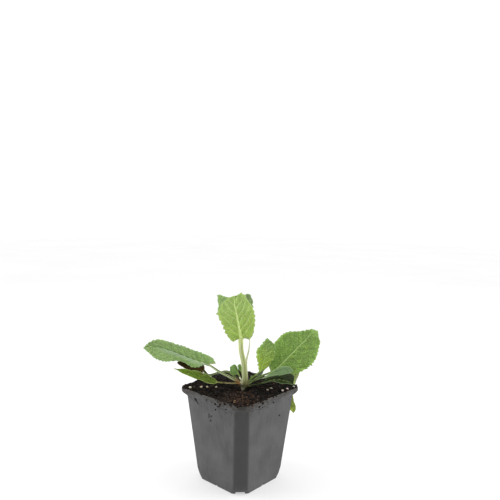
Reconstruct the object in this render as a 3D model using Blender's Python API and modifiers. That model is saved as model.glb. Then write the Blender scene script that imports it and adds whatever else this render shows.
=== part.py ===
# Potted woodland sage: a young plant with fourteen leaves in a square nursery pot.
# Metres, +Z up. The pot stands on z = 0 with its sides along X and Y.
import math

import bmesh
import bpy
import numpy as np
from mathutils import Matrix, Vector
from mathutils.bvhtree import BVHTree

MM = 0.001

# Air left between pieces that touch
GAP = 0.3 * MM

# Pot, a 9 cm square nursery pot formed in one piece. Its outer face from the base up:
# side, leg of the cut-off corner and height in millimetres, and how far the corner bulges
# from a straight cut (0) to a round one (1).
POT_OUTLINE = (
    (65.0, 11.5, 2.0, 0.3),
    (66.8, 10.2, 5.5, 0.25),
    (68.0, 9.2, 11.0, 0.2),
    (83.0, 9.2, 84.5, 0.2),
    (84.4, 9.0, 85.6, 0.45),
    (86.6, 9.0, 86.8, 0.8),
    (88.0, 9.0, 88.4, 1.0),
    (88.0, 9.0, 91.1, 1.0),
    (87.5, 9.0, 92.0, 1.0),
)
CORNER_STEPS = 4
SHEET = 0.9 * MM
FLOOR_ROUND = 0.8 * MM

# Skirt of feet under the pot, with a wide gap at each corner and a nick in each side
FOOT_SIDE = 64.0 * MM
FOOT_LEG = 11.5 * MM
FOOT_BULGE = 0.3
FOOT_HEIGHT = 2.0 * MM
FOOT_WIDTH = 1.4 * MM
CORNER_GAP_WIDTH = 8.4 * MM
CORNER_GAP_HEIGHT = 1.5 * MM
SIDE_NICK_WIDTH = 2.4 * MM
SIDE_NICK_HEIGHT = 1.1 * MM
CENTRE_FOOT_RADIUS = 6.0 * MM

# Drain holes in the floor: one near each corner and one towards the middle of each side
CORNER_DRAIN_RADIUS = 3.5 * MM
CORNER_DRAIN_REACH = 31.0 * MM
SIDE_DRAIN_RADIUS = 3.0 * MM
SIDE_DRAIN_REACH = 17.0 * MM
DRAIN_SIDES = 12

# Compost: its level, the height of its slope inside the lip, the rings of its surface as
# shares of the way out from the stem, and gentle mounds given as x, y, radius and rise in
# millimetres
SOIL_LEVEL = 89.6 * MM
SOIL_SHOULDER = 4.5 * MM
SOIL_SHARES = (1.0, 0.86, 0.68, 0.5, 0.32, 0.17)
SOIL_MOUNDS = (
    (26.0, -29.0, 22.0, 2.6),
    (-34.0, -14.0, 16.0, 2.2),
    (10.0, 34.0, 18.0, 2.0),
    (-26.0, 22.0, 20.0, 1.6),
)

# Stem, standing in a well in the compost: radius and height in millimetres down its outer
# side, from the closed bud on top over the shoulder that carries the stalks to the root end
STEM_PLACE = Vector((2.0 * MM, 2.0 * MM, 0.0))
STEM_WELL_RADIUS = 2.6 * MM
STEM_WELL_BOTTOM = 84.0 * MM
STEM_SIDES = 12
STEM_PROFILE = (
    (0.0, 98.0),
    (1.6, 97.7),
    (2.3, 96.8),
    (2.6, 95.6),
    (4.4, 95.2),
    (4.7, 94.7),
    (3.0, 92.6),
    (2.4, 91.0),
    (2.1, 88.5),
    (1.9, 84.4),
    (0.0, 84.4),
)

# Light grains on the compost: x, y and diameter in millimetres
GRAINS = (
    (-34.2, -36.6, 2.8),
    (-26.8, -28.2, 2.2),
    (-23.0, -23.9, 2.2),
    (-16.4, -17.5, 2.2),
    (26.0, 11.8, 1.8),
    (25.7, 18.0, 2.2),
    (37.8, 21.2, 2.4),
    (37.6, 29.1, 2.4),
    (37.7, 39.2, 2.2),
)
GRAIN_SEATING_STEPS = 6

# Leaves. A blade's half widths are given at these shares of its midrib's length.
STATIONS = (0.0, 0.07, 0.22, 0.4, 0.6, 0.8, 0.93, 1.0)
BLADE_THICKNESS = 0.7 * MM
MIDRIB_DEPTH = 0.9 * MM
TIP_RADIUS = 0.4 * MM
STALK_SIDES = 8
STALK_FLATNESS = 0.75
STALK_RING_SPACING = 7.0 * MM
LINE_STEPS = 10
WIDTH_STEPS = 2
DIRECTION_REACH = 0.6 * MM

# heading: where the leaf points, in degrees from +X. line: reach from the stem's middle,
# drift to the left and height in millimetres, from the stalk's foot to the blade's tip.
# stalk_spans: how many spans of the line are stalk. stalk: its half width at the foot and
# at the blade. left, right: half widths of the blade. roll: turn of the blade about its
# midrib at base and tip, left side up, and trough: rise of both its halves, in degrees.
# lobe: how far the base of each half reaches back along the stalk.
LEAVES = {
    "leaf_front_upright": {
        "finish": "leaf_light",
        "heading": 318,
        "line": [(5.3, 0.2, 95.6), (8.2, -1, 116), (11, -3, 132), (13, -3.5, 144.5),
                 (15, -6.5, 157), (16.5, -8.5, 170), (17, -11.5, 181), (17.5, -9.5, 187),
                 (14.5, -3, 190)],
        "stalk_spans": 3, "stalk": (3.0, 2.6),
        "left": (8, 12.5, 16, 16, 15, 14, 11.5, 0), "right": (7, 11, 14.5, 16.5, 20, 5, 1, 0),
        "roll": (0, 0), "trough": 3, "lobe": 3,
    },
    "leaf_rear_upright": {
        "finish": "leaf_grey",
        "heading": 318,
        "line": [(-2.7, 3.7, 95.7), (-1, 4.5, 116.5), (0.5, 5.5, 129), (3, 5.5, 141), (5, 1.5, 155),
                 (6, -4.5, 168), (3, -6, 177.5), (-3, -8.5, 184.5), (-7.5, -11.5, 180)],
        "stalk_spans": 3, "stalk": (1.1, 0.8),
        "left": (0.5, 4, 7.5, 11.5, 15, 16, 9, 0), "right": (2.5, 8.5, 14.5, 19, 21.5, 21, 17, 0),
        "roll": (0, 0), "trough": 16, "lobe": 0,
    },
    "leaf_right_large": {
        "finish": "leaf_green",
        "heading": 68,
        "line": [(4.1, 1.2, 92.0), (12.5, 2.5, 95.4), (20.5, 2, 99), (33, 0, 103), (41, -1, 108),
                 (54, -2, 119), (67, -2.5, 130), (79, -3, 140), (87.5, -2.5, 143)],
        "stalk_spans": 3, "stalk": (1.5, 1.3),
        "left": (9, 14, 17.5, 20.5, 20, 9, 2, 0), "right": (1, 8, 17, 21, 21, 14.5, 10, 0),
        "roll": (39, 61), "trough": 3, "lobe": 0.5,
    },
    "leaf_right_small": {
        "finish": "leaf_light",
        "heading": 75,
        "line": [(4.2, -1.4, 96.0), (9.5, -1.6, 99.5), (19.5, -2, 105.5), (24.5, -0.5, 115.5),
                 (29, 1.5, 127), (30.5, 2.5, 137.5)],
        "stalk_spans": 2, "stalk": (0.8, 0.9),
        "left": (2, 2.5, 4, 9, 9.5, 5.5, 2, 0), "right": (0.8, 2.5, 7.5, 9.5, 9.5, 9, 3.5, 0),
        "roll": (31, 32), "trough": 3, "lobe": 0,
    },
    "leaf_right_grey": {
        "finish": "leaf_grey",
        "heading": 30,
        "line": [(4.0, -1.5, 96.0), (20.5, -4, 103.5), (31.5, -6, 109.5), (39.5, -6, 113.5),
                 (46, -6.5, 115), (51.5, -6.5, 114)],
        "stalk_spans": 1, "stalk": (0.8, 0.9),
        "left": (1, 2.5, 3.5, 4.5, 4.5, 3.5, 2, 0), "right": (1, 3, 5, 7, 8.5, 8.5, 4.5, 0),
        "roll": (20, 24), "trough": 3, "lobe": 0,
    },
    "leaf_right_low": {
        "finish": "leaf_olive",
        "heading": 25,
        "line": [(3.8, -1.1, 92.1), (20.5, -2.5, 98.5), (33, -2.5, 102.5), (43, -2.5, 103),
                 (52, -2, 100.5)],
        "stalk_spans": 1, "stalk": (1.0, 0.9),
        "left": (1, 4, 6.5, 8.5, 10, 10, 8, 0), "right": (1, 1, 1.5, 2.5, 4.5, 3.5, 2, 0),
        "roll": (19, 14), "trough": -6, "lobe": 0,
    },
    "leaf_over_rim": {
        "finish": "leaf_light",
        "heading": 62,
        "line": [(3.3, -1.1, 91.7), (24, -2.5, 94.8), (41, -1.5, 98.2), (49.5, -1, 101.2),
                 (56, -1, 101.2), (55.7, -0.7, 94), (53.4, -0.9, 81), (51.7, 0.3, 72.8),
                 (53.4, -1, 66), (55, -1.5, 58.3)],
        "stalk_spans": 2, "stalk": (1.1, 1.1),
        "left": (2, 3, 4, 4.5, 4.5, 4, 3.5, 0), "right": (1, 4, 6, 6, 3.5, 5.5, 4, 0),
        "roll": (-4, -37), "trough": -8, "lobe": 0.5,
    },
    "leaf_young_rear": {
        "finish": "leaf_green",
        "heading": 160,
        "line": [(3.3, -0.6, 96.0), (7, 2.0, 103.5), (9, 4.5, 108), (11, 6, 112)],
        "stalk_spans": 1, "stalk": (0.8, 0.8),
        "left": (2.5, 4.5, 6.5, 8, 7.5, 5.5, 5, 0), "right": (0.8, 1.2, 1.5, 2.5, 3, 2.5, 2, 0),
        "roll": (0, 0), "trough": 12, "lobe": 0,
    },
    "leaf_young_rear_small": {
        "finish": "leaf_green",
        "heading": 130,
        "line": [(3.5, -0.9, 95.9), (6, 2, 105.5), (8, 4, 112.5)],
        "stalk_spans": 1, "stalk": (0.6, 0.6),
        "left": (0.8, 1.5, 2, 2.5, 2.5, 2.5, 2, 0), "right": (0.8, 1, 1, 1.2, 1.2, 1, 1, 0),
        "roll": (0, 0), "trough": 12, "lobe": 0,
    },
    "leaf_left_large": {
        "finish": "leaf_grey",
        "heading": 225,
        "line": [(3.8, 1.0, 96.6), (13, 1.5, 101.6), (25, 1, 108), (34.5, 0.5, 114),
                 (47.5, 0.5, 118), (59, 0.5, 123), (73, -1, 128), (87.5, -1.5, 132),
                 (100, -1.5, 131)],
        "stalk_spans": 3, "stalk": (1.6, 1.2),
        "left": (2.5, 2, 10, 9, 16, 14.5, 6.5, 0), "right": (6, 12, 14.5, 12, 10, 9, 4.5, 0),
        "roll": (-24, -41), "trough": 6, "lobe": 6.5,
    },
    "leaf_left_low": {
        "finish": "leaf_olive",
        "heading": 240,
        "line": [(3.7, 2.9, 96.2), (19, 4.8, 98.5), (29, 6.5, 101), (43, 7, 106), (57.5, 6.5, 112),
                 (71, 5.5, 117.5)],
        "stalk_spans": 2, "stalk": (1.0, 0.9),
        "left": (1.5, 4, 5.5, 5.5, 6, 4.5, 1, 0), "right": (2.5, 5.5, 8.5, 8.5, 6.5, 4.5, 1.5, 0),
        "roll": (-22, -15), "trough": 3, "lobe": 0,
    },
    "leaf_withered": {
        "finish": "leaf_dry",
        "heading": 200,
        "line": [(3.9, -0.7, 96.3), (18, -5.0, 99.3), (30, -7, 101.5), (40.5, -4, 99), (45, 0, 102.5),
                 (52.5, 6, 106), (59, 11, 108.5), (66.5, 16, 112.5)],
        "stalk_spans": 4, "stalk": (0.9, 0.8),
        "left": (2.5, 3, 3, 3.5, 2.5, 1, 0.8, 0), "right": (3, 5, 6.5, 7, 6.5, 5, 4, 0),
        "roll": (-40, -50), "trough": 12, "lobe": 1,
    },
    "leaf_right_folded": {
        "finish": "leaf_green",
        "heading": 60,
        "line": [(3.8, -1.9, 96.0), (12.4, -4.2, 99.4), (17.7, -3.8, 102.8), (20.2, -3.3, 105.8)],
        "stalk_spans": 1, "stalk": (0.6, 0.7),
        "left": (0.8, 2, 3, 4, 4, 3, 2, 0), "right": (0.8, 2, 3, 4, 4, 3, 2, 0),
        "roll": (0, 0), "trough": 14, "lobe": 0,
    },
    "leaf_bud": {
        "finish": "leaf_light",
        "heading": 10,
        "line": [(2.9, -1.0, 96.7), (8.5, -0.9, 100.4), (10.5, -0.5, 105)],
        "stalk_spans": 1, "stalk": (0.5, 0.5),
        "left": (0.6, 0.8, 1, 1.2, 1.2, 1, 0.8, 0), "right": (0.6, 0.8, 1, 1.2, 1.2, 1, 0.8, 0),
        "roll": (0, 0), "trough": 12, "lobe": 0,
    },
}

# Base colour and roughness of each finish
FINISHES = {
    "pot_plastic": ((0.060, 0.061, 0.063), 0.62),
    "compost": ((0.018, 0.012, 0.008), 0.95),
    "stem_green": ((0.47, 0.55, 0.27), 0.60),
    "leaf_light": ((0.31, 0.47, 0.12), 0.62),
    "leaf_green": ((0.17, 0.31, 0.07), 0.60),
    "leaf_grey": ((0.21, 0.33, 0.14), 0.70),
    "leaf_olive": ((0.11, 0.17, 0.03), 0.62),
    "leaf_dry": ((0.035, 0.028, 0.010), 0.85),
    "grain": ((0.62, 0.57, 0.36), 0.55),
}
SHARP_ANGLE = math.radians(35)


def clear_scene():
    for obj in list(bpy.data.objects):
        bpy.data.objects.remove(obj, do_unlink=True)


def new_collection(name):
    collection = bpy.data.collections.new(name)
    bpy.context.scene.collection.children.link(collection)
    return collection


def finish(name):
    material = bpy.data.materials.get(name)
    if material:
        return material
    colour, roughness = FINISHES[name]
    material = bpy.data.materials.new(name)
    material.use_nodes = True
    shader = material.node_tree.nodes["Principled BSDF"]
    shader.inputs["Base Color"].default_value = (*colour, 1.0)
    shader.inputs["Roughness"].default_value = roughness
    shader.inputs["Metallic"].default_value = 0.0
    return material


def add_object(name, bm, material_name, collection):
    bmesh.ops.recalc_face_normals(bm, faces=bm.faces)
    mesh = bpy.data.meshes.new(name)
    bm.to_mesh(mesh)
    bm.free()
    mesh.materials.append(finish(material_name))
    mesh.shade_smooth()
    mesh.set_sharp_from_angle(angle=SHARP_ANGLE)
    obj = bpy.data.objects.new(name, mesh)
    collection.objects.link(obj)
    return obj


def loft(rings):
    """A closed body through rings of equal length, capped at both ends."""
    bm = bmesh.new()
    rows = [[bm.verts.new(point) for point in ring] for ring in rings]
    count = len(rows[0])
    for lower, upper in zip(rows, rows[1:]):
        for i in range(count):
            j = (i + 1) % count
            bm.faces.new((lower[i], lower[j], upper[j], upper[i]))
    bm.faces.new(rows[0])
    bm.faces.new(rows[-1])
    return bm


def square_ring(side, leg, height, bulge):
    """A level square whose corners are cut off, straight at bulge 0 and round at bulge 1."""
    middle = side / 2 - leg
    points = []
    for quarter in range(4):
        turn = Matrix.Rotation(quarter * math.pi / 2, 3, "Z")
        for step in range(CORNER_STEPS + 1):
            share = step / CORNER_STEPS
            angle = share * math.pi / 2
            cut = Vector((middle + leg * (1 - share), middle + leg * share, height))
            arc = Vector((middle + leg * math.cos(angle), middle + leg * math.sin(angle), height))
            points.append(turn @ cut.lerp(arc, bulge))
    return points


def inset(ring, distance):
    """The same ring a distance further in, on its corners as on its sides."""
    side, leg, height, bulge = ring
    straight_loss = 2 - math.sqrt(2)
    leg_loss = straight_loss + (1 - straight_loss) * bulge
    return (side - 2 * distance, leg - leg_loss * distance, height, bulge)


def pot_outside():
    return [(side * MM, leg * MM, height * MM, bulge) for side, leg, height, bulge in POT_OUTLINE]


def pot_inside(clearance):
    """Rings up the inner face of the pot, set in by a clearance."""
    floor = FOOT_HEIGHT + SHEET
    rings = [
        inset((FOOT_SIDE, FOOT_LEG, floor + clearance, FOOT_BULGE), SHEET + FLOOR_ROUND + clearance),
        inset((FOOT_SIDE, FOOT_LEG, floor + FLOOR_ROUND + clearance, FOOT_BULGE), SHEET + clearance),
    ]
    rings += [inset(ring, SHEET + clearance) for ring in pot_outside()[1:]]
    return rings


def pot_body():
    foot = (FOOT_SIDE, FOOT_LEG, 0.0, FOOT_BULGE)
    inner_foot = inset(foot, FOOT_WIDTH)
    under_floor = (inner_foot[0], inner_foot[1], FOOT_HEIGHT, FOOT_BULGE)
    rings = [under_floor, inner_foot, foot] + pot_outside() + pot_inside(0.0)[::-1]
    return loft([square_ring(*ring) for ring in rings])


def add_block(bm, size, reach, turn):
    """A block centred at a reach from the pot's axis, on the plane that the pot stands on."""
    place = Matrix.Rotation(turn, 4, "Z") @ Matrix.Translation((reach, 0, 0))
    bmesh.ops.create_cube(bm, size=1.0, matrix=place @ Matrix.Diagonal((*size, 1.0)))


def add_drain(bm, radius, reach, turn):
    """A short round rod through the pot's floor at a reach from its axis."""
    matrix = Matrix.Rotation(turn, 4, "Z") @ Matrix.Translation((reach, 0, FOOT_HEIGHT + SHEET / 2))
    bmesh.ops.create_cone(bm, cap_ends=True, segments=DRAIN_SIDES, radius1=radius, radius2=radius,
                          depth=2 * FOOT_HEIGHT, matrix=matrix)


def add_boolean(obj, other, operation):
    modifier = obj.modifiers.new(operation.lower(), "BOOLEAN")
    modifier.operation = operation
    modifier.object = other
    other.hide_render = True
    other.display_type = "WIRE"


def make_pot(parts, cutters):
    pot = add_object("pot", pot_body(), "pot_plastic", parts)

    centre_foot = bmesh.new()
    height = FOOT_HEIGHT + SHEET / 2
    bmesh.ops.create_cone(centre_foot, cap_ends=True, segments=2 * DRAIN_SIDES,
                          radius1=CENTRE_FOOT_RADIUS, radius2=CENTRE_FOOT_RADIUS, depth=height,
                          matrix=Matrix.Translation((0, 0, height / 2)))
    add_boolean(pot, add_object("centre_foot", centre_foot, "pot_plastic", cutters), "UNION")

    openings = bmesh.new()
    corner_reach = (FOOT_SIDE - FOOT_LEG) / math.sqrt(2)
    through = 4 * FOOT_WIDTH
    for quarter in range(4):
        to_side = quarter * math.pi / 2
        to_corner = to_side + math.pi / 4
        add_block(openings, (2 * through, CORNER_GAP_WIDTH, 2 * CORNER_GAP_HEIGHT), corner_reach, to_corner)
        add_block(openings, (through, SIDE_NICK_WIDTH, 2 * SIDE_NICK_HEIGHT), FOOT_SIDE / 2, to_side)
        add_drain(openings, CORNER_DRAIN_RADIUS, CORNER_DRAIN_REACH, to_corner)
        add_drain(openings, SIDE_DRAIN_RADIUS, SIDE_DRAIN_REACH, to_side)
    add_boolean(pot, add_object("openings", openings, "pot_plastic", cutters), "DIFFERENCE")


def soil_height(x, y):
    height = SOIL_LEVEL
    for mound_x, mound_y, radius, rise in SOIL_MOUNDS:
        away = math.hypot(x - mound_x * MM, y - mound_y * MM) / (radius * MM)
        height += rise * MM * math.exp(-away * away)
    return height


def make_compost(parts):
    """The block of compost. Returns its surface, on which the grains are seated."""
    walls = pot_inside(GAP)
    rings = [square_ring(*ring) for ring in walls if ring[2] < SOIL_LEVEL - SOIL_SHOULDER]

    rim_side, rim_leg, _, rim_bulge = walls[-2]
    edge = square_ring(rim_side, rim_leg, 0.0, rim_bulge)
    for share in SOIL_SHARES:
        ring = []
        for corner in edge:
            point = STEM_PLACE.lerp(corner, share)
            point.z = soil_height(point.x, point.y)
            ring.append(point)
        rings.append(ring)

    well_top = soil_height(STEM_PLACE.x, STEM_PLACE.y)
    for height in (well_top, STEM_WELL_BOTTOM):
        ring = square_ring(2 * STEM_WELL_RADIUS, STEM_WELL_RADIUS, height, 1.0)
        rings.append([point + STEM_PLACE for point in ring])
    bm = loft(rings)
    surface = BVHTree.FromBMesh(bm)
    add_object("compost", bm, "compost", parts)
    return surface


def make_stem(parts):
    bm = bmesh.new()
    points = [bm.verts.new((radius * MM, 0, height * MM)) for radius, height in STEM_PROFILE]
    for upper, lower in zip(points, points[1:]):
        bm.edges.new((upper, lower))
    mesh = bpy.data.meshes.new("stem")
    bm.to_mesh(mesh)
    bm.free()
    mesh.materials.append(finish("stem_green"))
    stem = bpy.data.objects.new("stem", mesh)
    stem.location = STEM_PLACE
    parts.objects.link(stem)
    screw = stem.modifiers.new("turn", "SCREW")
    screw.steps = STEM_SIDES
    screw.render_steps = STEM_SIDES
    screw.use_merge_vertices = True
    screw.merge_threshold = 0.00005


def smooth_line(points, steps):
    """Rows of numbers read from a Catmull-Rom curve through the given rows."""
    rows = [np.array(point, dtype=float) for point in points]
    rows = [2 * rows[0] - rows[1]] + rows + [2 * rows[-1] - rows[-2]]
    curve = []
    for a, b, c, d in zip(rows, rows[1:], rows[2:], rows[3:]):
        for step in range(steps):
            t = step / steps
            curve.append(0.5 * (2 * b + (c - a) * t + (2 * a - 5 * b + 4 * c - d) * t ** 2
                                + (3 * b - a - 3 * c + d) * t ** 3))
    curve.append(rows[-2])
    return np.array(curve)


def lengths_along(curve):
    return np.concatenate(([0.0], np.cumsum(np.linalg.norm(np.diff(curve, axis=0), axis=1))))


def unit(vector):
    return vector / np.linalg.norm(vector)


def leaf_frame(curve, lengths, distance, heading, roll):
    """The midrib's point, and the ways along it, to the leaf's left and out of its upper face."""
    def place(length):
        return np.array([np.interp(length, lengths, curve[:, axis]) for axis in range(3)])

    before = max(distance - DIRECTION_REACH, 0.0)
    after = min(distance + DIRECTION_REACH, lengths[-1])
    along = unit(place(after) - place(before))
    level = np.array((-math.sin(heading), math.cos(heading), 0.0))
    side = unit(level - level.dot(along) * along)
    upper = np.cross(along, side)
    turned_side = side * math.cos(roll) + upper * math.sin(roll)
    turned_upper = upper * math.cos(roll) - side * math.sin(roll)
    return place(distance), along, turned_side, turned_upper


def stalk_ring(centre, side, upper, width):
    depth = STALK_FLATNESS * width
    angles = [2 * math.pi * step / STALK_SIDES for step in range(STALK_SIDES)]
    return [centre + side * width * math.cos(a) + upper * depth * math.sin(a) for a in angles]


def blade_ring(centre, along, side, upper, left, right, trough, shift):
    """Eight points round the blade: edge, halfway and midrib on both faces."""
    def at(across, rise):
        lift = abs(across) * math.sin(trough) + rise
        slide = shift * (across / max(left, right)) ** 2
        return centre + side * across * math.cos(trough) + upper * lift + along * slide

    skin = BLADE_THICKNESS / 2
    return [
        at(left, 0), at(left / 2, skin), centre + upper * skin, at(-right / 2, skin),
        at(-right, 0), at(-right / 2, -skin), centre - upper * MIDRIB_DEPTH, at(left / 2, -skin),
    ]


def make_leaf(name, leaf, parts):
    heading = math.radians(leaf["heading"])
    trough = math.radians(leaf["trough"])
    roll_base, roll_tip = (math.radians(angle) for angle in leaf["roll"])
    out = np.array((math.cos(heading), math.sin(heading), 0.0))
    level = np.array((-math.sin(heading), math.cos(heading), 0.0))
    rise = np.array((0.0, 0.0, 1.0))
    points = [MM * (out * reach + level * drift + rise * height) for reach, drift, height in leaf["line"]]
    curve = smooth_line(points, LINE_STEPS)
    lengths = lengths_along(curve)
    stalk_length = lengths[leaf["stalk_spans"] * LINE_STEPS]
    blade_length = lengths[-1] - stalk_length
    rings = []

    foot_width, neck_width = (value * MM for value in leaf["stalk"])
    count = max(2, round(stalk_length / STALK_RING_SPACING))
    for step in range(count):
        share = step / count
        centre, _, side, upper = leaf_frame(curve, lengths, share * stalk_length, heading, roll_base)
        rings.append(stalk_ring(centre, side, upper, foot_width + (neck_width - foot_width) * share))

    sections = smooth_line(list(zip(STATIONS, leaf["left"], leaf["right"])), WIDTH_STEPS)
    for share, left, right in sections[:-1]:
        roll = roll_base + (roll_tip - roll_base) * share
        centre, along, side, upper = leaf_frame(curve, lengths, stalk_length + share * blade_length,
                                                heading, roll)
        shift = -leaf["lobe"] * MM * (1 - share) ** 3
        rings.append(blade_ring(centre, along, side, upper, left * MM, right * MM, trough, shift))
    centre, _, side, upper = leaf_frame(curve, lengths, lengths[-1], heading, roll_tip)
    rings.append(stalk_ring(centre, side, upper, TIP_RADIUS))

    leaf_object = add_object(name, loft(rings), leaf["finish"], parts)
    leaf_object.location = STEM_PLACE


def make_grains(surface, parts):
    for number, (x, y, diameter) in enumerate(GRAINS, start=1):
        radius = diameter / 2 * MM
        bm = bmesh.new()
        bmesh.ops.create_icosphere(bm, subdivisions=2, radius=radius)
        grain = add_object(f"grain_{number}", bm, "grain", parts)
        above = Vector((x * MM, y * MM, POT_OUTLINE[-1][2] * MM + 2 * radius))
        centre = surface.ray_cast(above, Vector((0, 0, -1)))[0]
        centre.z += radius + GAP
        for _ in range(GRAIN_SEATING_STEPS):
            distance = surface.find_nearest(centre)[3]
            centre.z += radius + GAP - distance
        grain.location = centre


clear_scene()
sage_parts = new_collection("potted_woodland_sage")
sage_cutters = new_collection("cutters")
make_pot(sage_parts, sage_cutters)
compost_surface = make_compost(sage_parts)
make_stem(sage_parts)
for leaf_name, leaf_shape in LEAVES.items():
    make_leaf(leaf_name, leaf_shape, sage_parts)
make_grains(compost_surface, sage_parts)
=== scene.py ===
import math

import bmesh
import bpy
import numpy as np
from mathutils import Matrix, Vector


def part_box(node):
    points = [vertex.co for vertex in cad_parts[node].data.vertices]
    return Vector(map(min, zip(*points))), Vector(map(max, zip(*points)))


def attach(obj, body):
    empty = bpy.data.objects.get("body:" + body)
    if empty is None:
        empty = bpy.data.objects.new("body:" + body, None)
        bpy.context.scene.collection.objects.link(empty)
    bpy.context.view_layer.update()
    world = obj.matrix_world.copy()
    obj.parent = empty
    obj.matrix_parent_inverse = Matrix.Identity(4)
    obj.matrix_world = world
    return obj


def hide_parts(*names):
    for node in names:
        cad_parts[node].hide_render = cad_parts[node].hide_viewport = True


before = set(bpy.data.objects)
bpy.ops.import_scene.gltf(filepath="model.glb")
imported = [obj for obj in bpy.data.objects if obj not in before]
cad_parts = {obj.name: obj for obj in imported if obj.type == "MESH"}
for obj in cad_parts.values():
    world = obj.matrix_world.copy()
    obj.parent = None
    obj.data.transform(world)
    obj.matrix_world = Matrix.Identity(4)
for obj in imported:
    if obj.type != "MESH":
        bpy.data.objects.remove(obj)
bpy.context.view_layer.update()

# The pot: a square 9 cm nursery pot, drawn from one thin sheet of matt dark grey plastic. The
# walls taper to a skirt of feet with gaps for water, the corners are cut off, and a lip
# stiffens the rim. The wall is dusty, finely scuffed, and splashed with compost near the lip,
# and its cut-off corners are darkened with painted shade.
MM = 0.001
# side, leg of the cut-off corner, height, and the corner's bulge from straight (0) to round (1)
POT_FOOT = ((61.2, 10.3, 2, 0.3), (61.2, 10.3, 0.3, 0.3), (61.8, 10.5, 0, 0.3), (63.4, 11.3, 0, 0.3),
            (64, 11.5, 0.3, 0.3), (65, 11.5, 2, 0.3))
POT_WALL = ((65, 11.5, 2, 0.3), (66.5, 10.2, 5.5, 0.25), (67.7, 8.8, 11, 0.2), (82.7, 8.8, 84.5, 0.2))
POT_LIP = ((82.7, 8.8, 84.5, 0.2), (84.4, 9, 85.6, 0.45), (86.6, 9, 86.8, 0.8), (88, 9, 88.4, 1),
           (88, 9, 91, 1), (87.7, 9, 91.7, 1), (87.2, 8.9, 92, 1), (86.6, 8.8, 92, 1), (86.1, 8.7, 91.7, 1),
           (85.9, 8.6, 91, 1), (85.9, 8.6, 88.4, 1), (84.6, 8.6, 87, 0.8))
POT_INSIDE = ((82.6, 8.6, 85.8, 0.45), (81.2, 8.6, 84.5, 0.2), (66.2, 8.7, 11, 0.2), (62.4, 11, 3.2, 0.3),
              (61, 10.6, 2.9, 0.3))
CORNER_STEPS = 16
SIDE_STEPS = 24
WALL_BOW = 0.35
# half width, height of the gap at each corner of the skirt, and of the nick in each side
CORNER_GAP = (4.4, 2.3)
SIDE_NICK = (1.2, 1.1)
CENTRE_FOOT = ((5.5, 0), (5.9, 0.3), (6.1, 2))
# radius, reach from the middle and heading of each first drain hole, which is cut four times
DRAINS = ((3.5, 31, 45), (3, 17, 0))
DRAIN_MIDDLE, DRAIN_DEPTH = 2.4, 3


def shade(red, green, blue):
    """A screen colour from 0 to 255 as the light values that a material takes."""
    steps = [value / 255 for value in (red, green, blue)]
    return (*[s / 12.92 if s < 0.04 else ((s + 0.055) / 1.055) ** 2.4 for s in steps], 1.0)


class Field:
    """What a node puts out over a surface. Sums and products of fields are nodes too."""

    def __init__(self, socket):
        self.socket, self.tree = socket, socket.id_data

    def __getitem__(self, output):
        return Field(self.socket.node.outputs[output])

    def __add__(self, other):
        return figure("ADD", self, other)

    def __sub__(self, other):
        return figure("SUBTRACT", self, other)

    def __rsub__(self, other):
        return figure("SUBTRACT", other, self)

    def __mul__(self, other):
        return figure("MULTIPLY", self, other)

    def __truediv__(self, other):
        return figure("DIVIDE", self, other)

    def __rtruediv__(self, other):
        return figure("DIVIDE", other, self)


def feed(inputs, values):
    """Sets each named input to its value, or links a field to it."""
    for label, value in values.items():
        if isinstance(value, Field):
            value.tree.links.new(value.socket, inputs[label])
        else:
            inputs[label].default_value = value


def wire(tree, kind, inputs, **settings):
    """The first output of a new node with these settings and inputs."""
    node = tree.nodes.new("ShaderNode" + kind)
    for key, value in settings.items():
        setattr(node, key, value)
    feed(node.inputs, inputs)
    return Field(node.outputs[0])


def figure(operation, *values):
    """What a Math node makes of these values, of which at least one is a field."""
    tree = next(value.tree for value in values if isinstance(value, Field))
    return wire(tree, "Math", dict(enumerate(values)), operation=operation)


def fade(value, low, high):
    """0 up to low and 1 from high on, with a soft step between them."""
    values = {"Value": value, "From Min": low, "From Max": high}
    return wire(value.tree, "MapRange", values, interpolation_type="SMOOTHSTEP")


def blend(share, first, second):
    """The first colour where the share is 0, and the second where it is 1."""
    return wire(share.tree, "Mix", {0: share, 6: first, 7: second}, data_type="RGBA")[2]


def coated(colour, *coats):
    """A colour under coats, each with the share that it covers and its own screen colour."""
    for share, tint in coats:
        colour = blend(share, colour, shade(*tint))
    return colour


def split(vector):
    numbers = wire(vector.tree, "SeparateXYZ", {0: vector})
    return [numbers[axis] for axis in range(3)]


def place_in_mm(tree, *stretch):
    """The place on a piece in millimetres. A stretch under 1 draws a pattern out along its axis."""
    values = {0: wire(tree, "TexCoord", {})["Object"], 1: [share / MM for share in stretch or (1, 1, 1)]}
    return wire(tree, "VectorMath", values, operation="MULTIPLY")


def cloud(place, size, detail=2.0, rough=0.5):
    """Soft random values round 0.5, in patches of about this size."""
    values = {"Vector": place, "Scale": 1 / size, "Detail": detail, "Roughness": rough}
    return wire(place.tree, "TexNoise", values)


def new_group(name, inputs, outputs):
    """An empty node group, with the fields that it takes and its output sockets."""
    group = bpy.data.node_groups.new(name, "ShaderNodeTree")
    for sockets, way in ((inputs, "INPUT"), (outputs, "OUTPUT")):
        for label, kind in sockets.items():
            group.interface.new_socket(label, in_out=way, socket_type="NodeSocket" + kind)
    given = group.nodes.new("NodeGroupInput").outputs
    given = {label: Field(given[label]) for label in inputs}
    return group, given, group.nodes.new("NodeGroupOutput").inputs


def paint(finish, **surface):
    """Gives the material's shader these values or fields."""
    shader = finish.node_tree.nodes["Principled BSDF"].inputs
    feed(shader, {label.replace("_", " "): value for label, value in surface.items()})
    return finish


def new_finish(name, **surface):
    """A material with one plain shader, and its tree."""
    finish = bpy.data.materials.new(name)
    finish.use_nodes = True
    return paint(finish, **surface), finish.node_tree


def relief(height, depth, strength=1.0):
    """A surface normal from a height pattern, whose full depth is given in millimetres."""
    return wire(height.tree, "Bump", {"Height": height, "Distance": depth * MM, "Strength": strength})


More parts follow.
